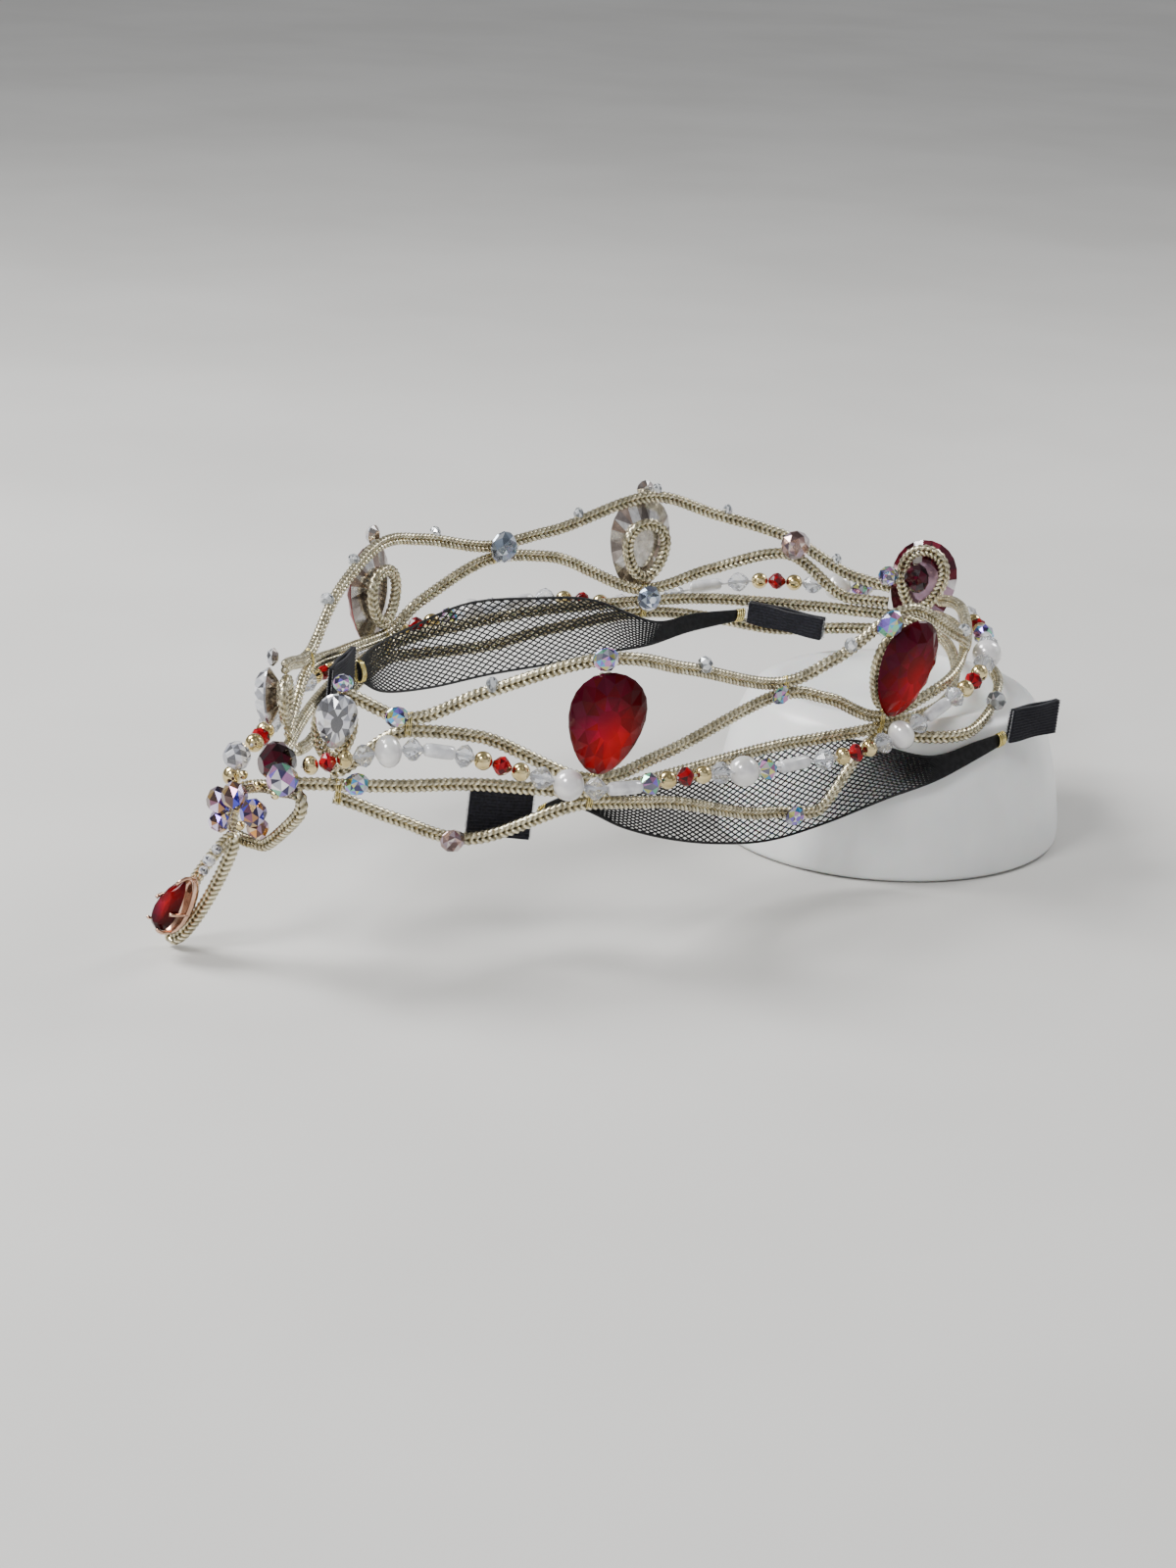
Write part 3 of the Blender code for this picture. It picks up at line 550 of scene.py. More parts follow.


# Materials. Each has a colour that follows noise in the object's own space, with the tone of the facet or
# thread multiplied into it. These tones hold painted shade, highlights and reflections besides the parts' own
# colours.

# Noise scale, the two colours that the noise runs between, the strength of its bumps, how metallic and how
# rough the surface is, the weight of its coat, and what else the shader is set to.
Finish = namedtuple("Finish", "scale dark light bump metallic roughness coat more", defaults=(0.0, {}))
SPECULAR = "Specular IOR Level"
COAT_ROUGHNESS = "Coat Roughness"
SMOOTH_COAT = 0.02
FINISHES = {
    "braid": Finish(1500, (0.78, 0.7, 0.48), (1, 0.97, 0.82), 0.5, 0.85, 0.22),
    "wire": Finish(500, (0.62, 0.48, 0.14), (0.9, 0.78, 0.36), 0, 1, 0.22),
    "gold": Finish(260, (0.62, 0.48, 0.22), (0.86, 0.72, 0.4), 0, 1, 0.1),
    "rose_gold": Finish(300, (0.62, 0.36, 0.25), (0.82, 0.54, 0.4), 0, 1, 0.17),
    "red": Finish(90, (0.42, 0.002, 0.008), (0.6, 0.004, 0.012), 0, 0, 0.12, 0.16, {SPECULAR: 0.05}),
    "garnet": Finish(120, (0.02, 0, 0.003), (0.048, 0, 0.006), 0, 0, 0.08, 0.35, {SPECULAR: 0.25}),
    "foil": Finish(500, (0.5, 0.48, 0.46), (0.78, 0.77, 0.75), 0.15, 0.9, 0.2),
    "crystal": Finish(240, (0.86, 0.88, 0.92), WHITE, 0, 0.3, 0.05, 0.8,
                      {"Transmission Weight": 0.35, "IOR": 1.5}),
    "aurora": Finish(240, (0.62, 0.64, 0.7), (0.86, 0.86, 0.88), 0, 0.8, 0.08, 0.5),
    "clear_bead": Finish(200, (0.93, 0.94, 0.95), WHITE, 0, 0, 0.03, 0,
                         {"Transmission Weight": 0.85, "IOR": 1.5}),
    "wine_back": Finish(300, (0.3, 0.2, 0.22), (0.5, 0.36, 0.38), 0, 0.7, 0.12, 0.3),
    "red_bead": Finish(300, (0.2, 0, 0.004), (0.36, 0.001, 0.008), 0, 0, 0.08, 0.35, {SPECULAR: 0.15}),
    "pearl": Finish(260, (0.74, 0.71, 0.73), (0.88, 0.87, 0.84), 0, 0.2, 0.22, 1,
                    {COAT_ROUGHNESS: 0.03, "Coat IOR": 1.9}),
    "satin": Finish(350, (0.62, 0.62, 0.65), (0.86, 0.86, 0.87), 0.1, 0.15, 0.16, 0.7,
                    {COAT_ROUGHNESS: 0.05}),
    "net": Finish(900, (0.003, 0.003, 0.004), (0.012, 0.012, 0.014), 0, 0, 0.45, 0, {SPECULAR: 0.35}),
    "ribbon": Finish(1600, (0.004, 0.004, 0.007), (0.014, 0.014, 0.022), 0.3, 0, 0.7, 0,
                     {"Sheen Weight": 0.08, SPECULAR: 0.25}),
    "frayed": Finish(1800, (0.25, 0.25, 0.27), (0.6, 0.6, 0.62), 0.4, 0, 0.8),
    "bowl": Finish(36, (0.74, 0.745, 0.74), (0.87, 0.87, 0.86), 0.06, 0, 0.34, 0.2,
                   {"Subsurface Weight": 0.2, "Subsurface Scale": 0.005, COAT_ROUGHNESS: 0.25}),
    "floor": Finish(6, (0.6, 0.59, 0.565), (0.65, 0.64, 0.615), 0, 0, 0.8),
}
NOISE_DETAIL = 3.0
# Where on the noise the darker colour ends and the lighter one begins.
FINISH_EDGES = (0.36, 0.64)
BUMP_DISTANCE = 0.0002


def noise_ramp(tree, coordinates, scale, edges, colours):
    """Soft patches of two colours."""
    place = tree.nodes.new("ShaderNodeTexCoord")
    noise = tree.nodes.new("ShaderNodeTexNoise")
    noise.inputs["Scale"].default_value = scale
    ramp = tree.nodes.new("ShaderNodeValToRGB")
    for number in (0, 1):
        ramp.color_ramp.elements[number].position = edges[number]
        ramp.color_ramp.elements[number].color = (*colours[number], 1.0)
    tree.links.new(place.outputs[coordinates], noise.inputs["Vector"])
    tree.links.new(noise.outputs["Fac"], ramp.inputs["Fac"])
    return noise, ramp


def make_material(name, finish):
    material = bpy.data.materials.new(name.replace("_", " "))
    material.use_nodes = True
    tree = material.node_tree
    shader = tree.nodes["Principled BSDF"]
    noise, ramp = noise_ramp(tree, "Object", finish.scale, FINISH_EDGES, (finish.dark, finish.light))
    noise.inputs["Detail"].default_value = NOISE_DETAIL
    tone = tree.nodes.new("ShaderNodeVertexColor")
    tone.layer_name = "tone"
    multiply = tree.nodes.new("ShaderNodeVectorMath")
    multiply.operation = "MULTIPLY"
    tree.links.new(ramp.outputs["Color"], multiply.inputs[0])
    tree.links.new(tone.outputs["Color"], multiply.inputs[1])
    tree.links.new(multiply.outputs["Vector"], shader.inputs["Base Color"])
    if finish.bump:
        bump = tree.nodes.new("ShaderNodeBump")
        bump.inputs["Strength"].default_value = finish.bump
        bump.inputs["Distance"].default_value = BUMP_DISTANCE
        tree.links.new(noise.outputs["Fac"], bump.inputs["Height"])
        tree.links.new(bump.outputs["Normal"], shader.inputs["Normal"])
    values = {"Metallic": finish.metallic, "Roughness": finish.roughness, "Coat Weight": finish.coat,
              COAT_ROUGHNESS: SMOOTH_COAT, **finish.more}
    for socket, value in values.items():
        shader.inputs[socket].default_value = value
    return material


# Facet tones, which multiply the material's own colour: the stones' own colours, different at random from
# facet to facet, with painted reflections among them. Tones above 1 are painted highlights and the darkest
# are painted dark reflections. On the colourless crystals and the foils, all the differences between facets
# are painted reflections.
TONES_WITH_PAINTED_REFLECTIONS = {
    "red": ((0.35, 0.4, 0.5), (0.7, 0.7, 0.8), (1, 1, 1), (1.3, 1, 1), (0.2, 0.25, 0.4)),
    "garnet": ((0.3, 0.4, 0.5), (0.7, 0.6, 0.7), (1.5, 1, 1.9), (0.15, 0.2, 0.2), (1, 0.9, 1)),
    "wine": ((0.3, 0.02, 0.06), (0.12, 0.01, 0.03), (1.6, 2.2, 2.1), (0.5, 0.03, 0.1), (0.9, 0.8, 1),
             (0.2, 0.01, 0.05)),
    "crystal": ((0.14, 0.14, 0.15), (0.95, 0.96, 1), (0.42, 0.43, 0.48), (1.15, 1.15, 1.15),
                (0.2, 0.2, 0.22), (0.8, 0.78, 0.86), (1, 0.96, 0.9)),
    "clear": ((1, 1, 1), (0.9, 0.92, 0.96), (0.78, 0.8, 0.86)),
    "aurora": ((0.34, 0.22, 0.85), (0.8, 0.8, 0.25), (0.12, 0.55, 0.95), (1.3, 1.25, 1.25),
               (0.07, 0.06, 0.16), (0.8, 0.36, 0.66), (0.3, 0.8, 0.5), (0.6, 0.6, 0.66), (0.2, 0.19, 0.26)),
    "violet": ((0.12, 0.05, 0.34), (0.5, 0.24, 0.1), (0.04, 0.025, 0.08), (0.95, 0.78, 1.05),
               (0.08, 0.08, 0.7), (0.26, 0.1, 0.17), (0.17, 0.1, 0.09), (0.8, 0.52, 0.22)),
    "amber": ((0.95, 0.42, 0.1), (0.34, 0.14, 0.05), (1.1, 0.82, 0.5), (0.16, 0.07, 0.05), (0.5, 0.3, 0.42)),
    "blush": ((0.42, 0.26, 0.22), (0.72, 0.48, 0.43), (0.18, 0.11, 0.1), (0.95, 0.82, 0.76),
              (0.46, 0.34, 0.38)),
    "smoke": ((0.22, 0.27, 0.33), (0.4, 0.47, 0.54), (0.1, 0.12, 0.16), (0.85, 0.9, 0.96), (0.3, 0.32, 0.42)),
    "grey": ((0.42, 0.44, 0.45), (0.8, 0.82, 0.82), (0.2, 0.21, 0.22), (1.05, 1.05, 1.05)),
    "foil": ((0.85, 0.84, 0.84), (0.5, 0.39, 0.34), (1, 1, 1.02), (0.33, 0.29, 0.28), (0.66, 0.6, 0.58)),
}
# Stones whose material isn't named as their finish is.
GEM_MATERIALS = {"amber": "aurora", "blush": "aurora", "smoke": "aurora"}

# The painted glow of a red stone, which stands in for the light that comes back through it off its foil:
# its middle and its half sizes, from -1 to 1 across and up the stone, then the darkest level, what the glow
# adds, how much more it adds by chance, how much of the red is in the green and blue, the blue that the
# painted magenta highlights add, and a seed for each of the two draws.
GLOW_ACROSS = 0.1
GLOW_RISE = -0.3
GLOW_WIDE = 0.55
GLOW_HIGH = 0.62
RUBY_DARKEST = 0.08
RUBY_PAINTED_GLOW = 0.4
RUBY_CHANCE = 0.75
RUBY_COOL = 0.5
RUBY_PAINTED_MAGENTA = 9.0
GLOW_DRAW = 3
MAGENTA_DRAW = 5


def ruby_tone(across, rise, seed, number):
    """Painted light: a glow low in the middle of the stone, darker wine at the rim and the top, and painted
    magenta highlights on the upper left.
    """
    painted_glow = math.exp(-((across - GLOW_ACROSS) / GLOW_WIDE) ** 2 - ((rise - GLOW_RISE) / GLOW_HIGH) ** 2)
    level = RUBY_DARKEST + painted_glow * (RUBY_PAINTED_GLOW + RUBY_CHANCE * chance(seed, number, GLOW_DRAW))
    painted_magenta = max(0.0, min(1.0, rise - GLOW_RISE - across)) * chance(seed, number, MAGENTA_DRAW)
    return (level, level * RUBY_COOL, level * (RUBY_COOL + RUBY_PAINTED_MAGENTA * painted_magenta))


# Cut stones.

StonePlace = namedtuple("StonePlace", "point across rise")
# The pear whose foil shows dark wine from inside.
WINE_BACKED = "3"
PEAR_SIDES = 26
STONE_SIDES = 12
DROP_SIDES = 20
# The drop stone's colour and painted glow against the large pears'.
DROP_DEEPNESS = 0.5
# How far up a pear the rings of its facets shrink toward.
PEAR_CENTRE = 0.58
# Where each kind of stone starts in the numbers that chance is drawn from.
PEAR_BACK_SEED = 9
STONE_SEED = 20
STONE_BACK_SEED = 40
CRYSTAL_SEED = 60
CLUSTER_SEED = 40
DROP_SEED = 77
DROP_BACK_SEED = 78
DROP_BEAD_SEED = 90
NEAR_STRING_SEED = 3
FAR_STRING_SEED = 5


def pear_tier(axes, size, scale, level, count, shift=0.0):
    """One ring of a pear: each point with its place across and up the stone, from -1 to 1."""
    origin, along, facing, up = axes
    length, width, depth = size
    middle = length * PEAR_CENTRE
    outline = pear_outline(length, width, count * 2)
    ring = []
    for k in range(count):
        x, height = outline[2 * k + round(2 * shift)]
        x *= scale
        height = middle + (height - middle) * scale
        point = world(origin + along * x + up * height + facing * level * depth)
        ring.append(StonePlace(point, 2 * x / width, 2 * height / length - 1))
    return ring


def round_tier(axes, size, scale, level, count, shift=0.0):
    centre, along, facing, up = axes
    diameter, depth = size
    ring = []
    for k in range(count):
        angle = TURN * (k + shift) / count
        x = math.sin(angle) * scale
        height = -math.cos(angle) * scale
        point = world(centre + (along * x + up * height) * diameter / 2 + facing * (level - 0.5) * depth)
        ring.append(StonePlace(point, x, height))
    return ring


# Rings of a cut stone from its back to its table: outline share, depth share, whether it has half as many
# points as the girdle, and its half-step turn.
STONE_TIERS = table("scale level halved shift", (
    (0.5, 0, True, 0),
    (1, 0.42, False, 0),
    (0.97, 0.52, False, 0),
    (0.84, 0.8, True, 0.5),
    (0.62, 1, True, 0),
    (0.3, 1.02, True, 0.5),
))


def cut_stone(node, materials, tier, axes, size, sides, front_tone, back_tone):
    """Make a cut stone in one shell, with the first material on its front and the second on its back."""
    shape = Shape()
    half = sides // 2
    places = []
    starts = []
    for row in STONE_TIERS:
        starts.append(len(places))
        places += tier(axes, size, row.scale, row.level, half if row.halved else sides, row.shift)
    back, low, high, star, flat, inner = starts
    faces = [tuple(back + k for k in reversed(range(half)))]
    for k in range(half):
        ahead = (k + 1) % half
        odd = 2 * k + 1
        even = (2 * k + 2) % sides
        faces.append((low + 2 * k, back + k, low + odd))
        faces.append((low + odd, back + k, back + ahead))
        faces.append((low + odd, back + ahead, low + even))
    backs = len(faces)
    for k in range(sides):
        ahead = (k + 1) % sides
        faces.append((low + k, low + ahead, high + ahead, high + k))
    for k in range(half):
        ahead = (k + 1) % half
        odd = high + 2 * k + 1
        even = high + (2 * k + 2) % sides
        faces.append((high + 2 * k, odd, star + k))
        faces.append((odd, even, star + k))
        faces.append((even, star + ahead, flat + ahead, star + k))
        faces.append((star + k, flat + ahead, flat + k))
    faces += stagger_faces(flat, inner, half, False)
    faces.append(tuple(inner + k for k in range(half)))
    tones = []
    for number, face in enumerate(faces):
        tone = back_tone if number < backs else front_tone
        tones.append([tone(places[corner].across, places[corner].rise, number) for corner in face])
    slots = [1] * backs + [0] * (len(faces) - backs)
    shape.add_facets([place.point for place in places], faces, slots, tones)
    shape.make("cut_" + node, materials, [node])


def palette_tone(palette, seed):
    """A tone for each facet, drawn from a palette."""
    return lambda across, rise, number: pick(palette, seed, number)


def ruby(seed, strength=1.0):
    return lambda across, rise, number: [value * strength for value in ruby_tone(across, rise, seed, number)]


def make_pears():
    """Every pear with the braided loop behind it."""
    red = ("pear_loop_", "red_pear_", PEAR_SIZE, LOOP_WIDTH, "red")
    clear = ("front_loop_", "clear_pear_", CLEAR_SIZE, SMALL_LOOP_WIDTH, "crystal")
    rows = [(row, *red) for row in RED_PEARS] + [(row, *clear) for row in CLEAR_PEARS]
    for seed, (row, loop, stone, size, loop_width, finish) in enumerate(rows):
        origin, along, facing, up = place_frame(INDEX[row.station], 0)
        turn = Matrix.Rotation(math.radians(row.turn), 3, up)
        along = turn @ along
        facing = turn @ facing
        outline = pear_outline(row.loop_high - row.loop_low, loop_width, LOOP_DETAIL)
        loop_points = [world(origin + along * x + up * (row.loop_low + height)) for x, height in outline]
        make_loop(loop + row.name, loop_points, facing)
        axes = (origin + facing * SEAT + up * row.tip, along, facing, up)
        back, back_palette = ("wine_back", "wine") if row.name == WINE_BACKED else ("foil", "foil")
        front_tone = ruby(seed) if finish == "red" else palette_tone("crystal", seed)
        back_tone = palette_tone(back_palette, seed + PEAR_BACK_SEED)
        cut_stone(stone + row.name, [finish, back], pear_tier, axes, size, PEAR_SIDES,
                  front_tone, back_tone)


def make_stones():
    for seed, row in enumerate(STONES):
        place = INDEX[row.station] + row.along
        height, out = cord_place(row.cord, place)
        origin, along, facing, up = place_frame(place, height + row.lift, out)
        depth = row.diameter * STONE_DEPTH_RATIO
        facing = facing * row.side
        axes = (origin + facing * (SEAT + depth / 2), along, facing, up)
        materials = [GEM_MATERIALS.get(row.finish, row.finish), "foil"]
        cut_stone(row.name, materials, round_tier, axes, (row.diameter, depth), STONE_SIDES,
                  palette_tone(row.finish, seed + STONE_SEED), palette_tone("foil", seed + STONE_BACK_SEED))


# Braided cords. Each is a flat braid of two lobes side by side, with slanting stitches on each lobe, whose
# colour holds painted shade in the grooves and painted highlights and glints on the crests.
BRAID_STEP = 0.3
BRAID_PITCH = 1.4
BRAID_RELIEF = 0.2
BRAID_SLANT = 2
LOBE_SIDES = 8
LOBE_SPREAD = 0.74
LOBE_WIDE = 0.76
LOBE_DEEP = 1.0
# Painted shade in the grooves between the stitches, painted highlight on their crests, and painted glints
# that make each stitch brighter or duller at random.
GROOVE_PAINTED_SHADE = (0.13, 0.11, 0.06)
STITCH_PAINTED_HIGHLIGHT = (1.05, 1.02, 0.95)
PAINTED_GLINT = 0.7
STITCH_FULLNESS = 0.9
LOOP_DETAIL = 48
FINE_STEPS = 14


def even_steps(points, sides, closed):
    """Places at even steps along a line, each with the direction from one lobe to the other and the run."""
    line = points + points[:1] if closed else points
    across = sides + sides[:1] if closed else sides
    runs = distances(line)
    count = round(runs[-1] / BRAID_STEP)
    places = []
    for k in range(count if closed else count + 1):
        run = runs[-1] * k / count
        number, part = locate(runs, run)
        side = across[number].lerp(across[number + 1], part)
        places.append((line[number].lerp(line[number + 1], part), side, run))
    return places, runs[-1]


def add_braid(shape, points, sides, closed):
    places, length = even_steps(points, sides, closed)
    count = len(places)
    stitches = round(length / BRAID_PITCH)
    for lobe in (-1, 1):
        rings = []
        tones = []
        for k, (centre, side, run) in enumerate(places):
            ahead = places[(k + 1) % count][0] if closed or k + 1 < count else centre
            behind = places[k - 1][0] if closed or k else centre
            heading = (ahead - behind).normalized()
            side = (side - heading * side.dot(heading)).normalized()
            deep = heading.cross(side)
            for j in range(LOBE_SIDES):
                angle = TURN * j / LOBE_SIDES
                phase = stitches * run / length + lobe * BRAID_SLANT * angle / TURN
                wave = (0.5 + 0.5 * math.cos(TURN * phase)) ** STITCH_FULLNESS
                radius = 1 + BRAID_RELIEF * (2 * wave - 1)
                spoke = side * math.cos(angle) * LOBE_WIDE + deep * math.sin(angle) * LOBE_DEEP
                rings.append(centre + side * lobe * LOBE_SPREAD + spoke * radius)
                # Painted glint: each stitch brighter or duller at random, then painted shade in its groove
                # and painted highlight on its crest.
                painted_glint_factor = 1 + PAINTED_GLINT * (chance(round(phase) % stitches, lobe, length) - 0.5)
                stitch_highlight = [high * painted_glint_factor for high in STITCH_PAINTED_HIGHLIGHT]
                tones.append([low + (high - low) * wave for low, high in zip(GROOVE_PAINTED_SHADE, stitch_highlight)])
        shape.add(rings, skin(count, LOBE_SIDES, closed), 0, tones)


def make_crown_cords():
    near_start = INDEX["clear_near"]
    far_start = BACK + BACK_CLEARANCE
    near_end = BACK - BACK_CLEARANCE
    runs = {
        "base_band": ("base", 0, len(STATIONS)),
        "upper_wave_near": ("upper", near_start, near_end),
        "middle_wave_near": ("middle", near_start, near_end),
        "upper_wave_far": ("upper", far_start, CLEAR_FAR),
        "middle_wave_far": ("middle", far_start, CLEAR_FAR),
        "lower_wave_near": ("lower", near_start + HEM_START_NEAR, BACK - 1 - HEM_END_NEAR),
        "lower_wave_far": ("lower", far_start, CLEAR_FAR - HEM_END_FAR),
    }
    for node, (cord, start, end) in runs.items():
        closed = node == "base_band"
        count = round((end - start) * FINE_STEPS)
        points = []
        sides = []
        for k in range(count if closed else count + 1):
            place = start + (end - start) * k / count
            points.append(world(cord_point(cord, place)))
            sides.append(world_direction(place_frame(place, 0)[3]))
        shape = Shape()
        add_braid(shape, points, sides, closed)
        shape.make("braided_" + node, ["braid"], [node])


def make_loop(node, points, facing):
    """A closed braid that lies flat across its facing direction."""
    facing = world_direction(facing)
    sides = []
    for number in range(len(points)):
        heading = points[(number + 1) % len(points)] - points[number - 1]
        sides.append(heading.cross(facing).normalized())
    shape = Shape()
    add_braid(shape, points, sides, True)
    shape.make("braided_" + node, ["braid"], [node])


# Crystals sewn on the cords: cord, place along the stations, and diameter.
SMALL_CRYSTALS = (
    ("upper", 3.04, 3.8),
    ("upper", 5.18, 4.2),
    ("upper", 7.16, 4),
    ("upper", 9.1, 3.4),
    ("lower", 9.52, 5.2),
    ("upper", 13.28, 3.6),
    ("upper", 14.84, 3.4),
    ("upper", 15.9, 3.4),
    ("upper", 16.7, 3.4),
    ("upper", 18.78, 3.4),
    ("upper", 20.6, 3.2),
    ("upper", 21.26, 3.6),
)
SMALL_CRYSTAL_LIFT = 1.9
SMALL_CRYSTAL_OUT = 0.6
SMALL_CRYSTAL_STRETCH = 0.8


def make_small_crystals():
    shape = Shape()
    for seed, (cord, place, diameter) in enumerate(SMALL_CRYSTALS):
        height, out = cord_place(cord, place)
        origin, along, facing, _ = place_frame(place, height + SMALL_CRYSTAL_LIFT, out)
        centre = world(origin + facing * SMALL_CRYSTAL_OUT)
        tiers = ball_tiers(diameter, SMALL_CRYSTAL_STRETCH)
        add_faceted(shape, centre, world_direction(along), tiers, CUT_SIDES, "grey", seed + CRYSTAL_SEED)
    shape.make("small_crystals", ["crystal"])


CLUSTER_HEADING = (0.25, 1.0, 0.1)
CLUSTER_FULLNESS = 1.12
CLUSTER_STRETCH = 0.95
GOLD_STRETCH = 0.9
GOLD_STEPS = 10
# Small gold beads between them, as ring-frame places.
SEED_BEADS = ((-0.8, -116.5, -8.6), (5.8, -116.2, -0.4), (-1.2, -115.2, -0.8), (5.2, -117.6, -6.6),
              (-7.4, -117.6, -10.8), (2.6, -117.8, -11.2), (12.6, -116.4, 0.2))
SEED_BEAD_DIAMETER = 2.2
SEED_BEAD_STEPS = 6
SEED_BEAD_SIDES = 10


def make_cluster():
    heading = world_direction(CLUSTER_HEADING)
    for seed, row in enumerate(CLUSTER):
        centre = world((row.x, row.y, row.z))
        shape = Shape()
        if row.finish == "gold":
            profile = ball_profile(row.diameter * GOLD_STRETCH, row.diameter / 2, GOLD_STEPS)
            add_turned(shape, centre, heading, profile, row.sides)
        else:
            tiers = ball_tiers(row.diameter * CLUSTER_FULLNESS, CLUSTER_STRETCH)
            add_faceted(shape, centre, heading, tiers, row.sides, row.tones, seed + CLUSTER_SEED)
        shape.make("cut_" + row.name, [GEM_MATERIALS.get(row.finish, row.finish)], [row.name])
    shape = Shape()
    profile = ball_profile(SEED_BEAD_DIAMETER, SEED_BEAD_DIAMETER / 2, SEED_BEAD_STEPS)
    for place in SEED_BEADS:
        add_turned(shape, world(place), heading, profile, SEED_BEAD_SIDES)
    shape.make("cluster_seed_beads", ["gold"])


BROW_STEPS = 6


def make_brow_loop():
    points = []
    for k in range(len(BROW_LOOP) * BROW_STEPS):
        number, step = divmod(k, BROW_STEPS)
        flat = smooth(neighbours(BROW_LOOP, number, True), step / BROW_STEPS)
        points.append(world((flat.x, BROW_LOOP_Y, flat.y)))
    make_loop("brow_loop", points, (0, -1, 0))


# The drop's open setting: rings of its wall, as outline share and depth share, and its prongs, as shares
# of the way round from the tip.
SETTING_TIERS = ((0.62, 0), (0.9, 0.3), (0.94, 0.55), (1, 0.62), (1, 0.98), (0.9, 1), (0.86, 0.7))
PRONG_PLACES = (0.0, 0.24, 0.42, 0.58, 0.76)
PRONG_RADIUS = 0.42
PRONG_SIDES = 8
# Outline share and depth share where a prong stands beside the stone and where it grips it, then how far it
# reaches below and above the first of these, and how far it bows out on its way to the second.
PRONG_SIDE = (1.1, 0.2)
PRONG_GRIP = (0.9, 0.85)
PRONG_BELOW = 1.8
PRONG_ABOVE = 1.2
PRONG_BOW = 0.9
# Small clear beads above the stone: share of the way up the loop, and diameter.
DROP_BEADS = ((0.88, 2.6), (0.77, 3.0), (0.67, 2.4))


def make_drop():
    top = Vector(DROP_TOP)
    tip = Vector(DROP_TIP)
    up = (top - tip).normalized()
    length = (top - tip).length
    along = up.cross(Vector((0, -1, 0))).normalized()
    facing = along.cross(up).normalized()
    outline = pear_outline(length, DROP_LOOP_WIDTH, LOOP_DETAIL)
    make_loop("drop_loop", [world(tip + along * x + up * (length - height)) for x, height in outline], facing)
    rim = DROP_SETTING_RIM
    stone_length, stone_width, _ = DROP_STONE_SIZE
    foot = tip + up * (DROP_STONE_FROM_TIP + stone_length + rim) + facing * SEAT
    cup_axes = (foot + up * rim, along, facing, -up)
    cup_size = (stone_length + 2 * rim, stone_width + 2 * rim, DROP_SETTING_DEPTH)
    stone_axes = (foot + facing * (DROP_SETTING_DEPTH + GAP), along, facing, -up)
    setting = Shape()
    rings = [place.point for scale, level in SETTING_TIERS
             for place in pear_tier(cup_axes, cup_size, scale, level, DROP_SIDES)]
    setting.add(rings, skin(len(SETTING_TIERS), DROP_SIDES))
    out = world_direction(facing)
    beside = pear_tier(stone_axes, DROP_STONE_SIZE, *PRONG_SIDE, DROP_SIDES)
    over = pear_tier(stone_axes, DROP_STONE_SIZE, *PRONG_GRIP, DROP_SIDES)
    for share in PRONG_PLACES:
        number = round(share * DROP_SIDES)
        side = beside[number].point
        claw = over[number].point + out * PRONG_RADIUS
        bow = side.lerp(claw, 0.5) + out * PRONG_BOW
        prong = [side - out * PRONG_BELOW, side, side + out * PRONG_ABOVE, bow, claw]
        add_tube(setting, prong, PRONG_RADIUS, PRONG_SIDES)
    setting.make("prong_setting", ["rose_gold"], ["drop_setting"])
    cut_stone("drop_stone", ["red", "foil"], pear_tier, stone_axes, DROP_STONE_SIZE, DROP_SIDES,
              ruby(DROP_SEED, DROP_DEEPNESS), palette_tone("foil", DROP_BACK_SEED))
    beads = Shape()
    heading = world_direction(up)
    for seed, (share, diameter) in enumerate(DROP_BEADS):
        centre = world(tip.lerp(top, share) + facing * (SEAT + diameter / 2))
        tiers = ball_tiers(diameter, 1.0)
        add_faceted(beads, centre, heading, tiers, CUT_SIDES, "crystal", seed + DROP_BEAD_SEED)
    beads.make("drop_beads", ["crystal"])


# Bead strings.

STRING_MATERIALS = ("gold", "red_bead", "clear_bead", "pearl", "satin", "aurora")
# The share of the clear beads that shimmer.
AURORA_SHARE = 0.35
HOLE_RADIUS = 0.5
STRING_THREAD_RADIUS = 0.35
STRING_THREAD_SIDES = 5
# Each turned bead's steps along its profile and sides round it.
ROUND_BEADS = {"ball": (10, 16), "pearl": (14, 24)}
TUBE_SIDES = 16
# Half a tube bead's profile, as share of the half length and of the radius.
TUBE_SHARES = ((0.97, 0.7), (0.86, 0.93), (0.5, 1.0))
TUBE_FULLNESS = 0.86
BEAD_CLOSENESS = 0.97


def ball_profile(length, radius, steps):
    """A ball from hole edge to hole edge."""
    first = math.asin(HOLE_RADIUS / radius)
    angles = [first + (math.pi - 2 * first) * k / steps for k in range(steps + 1)]
    return [(-math.cos(angle) * length / 2, math.sin(angle) * radius) for angle in angles]


def tube_profile(length, radius):
    rise = [(-share * length / 2, swell * radius) for share, swell in TUBE_SHARES]
    fall = [(-run, swell) for run, swell in reversed(rise)]
    return [(-length / 2, HOLE_RADIUS)] + rise + fall + [(length / 2, HOLE_RADIUS)]


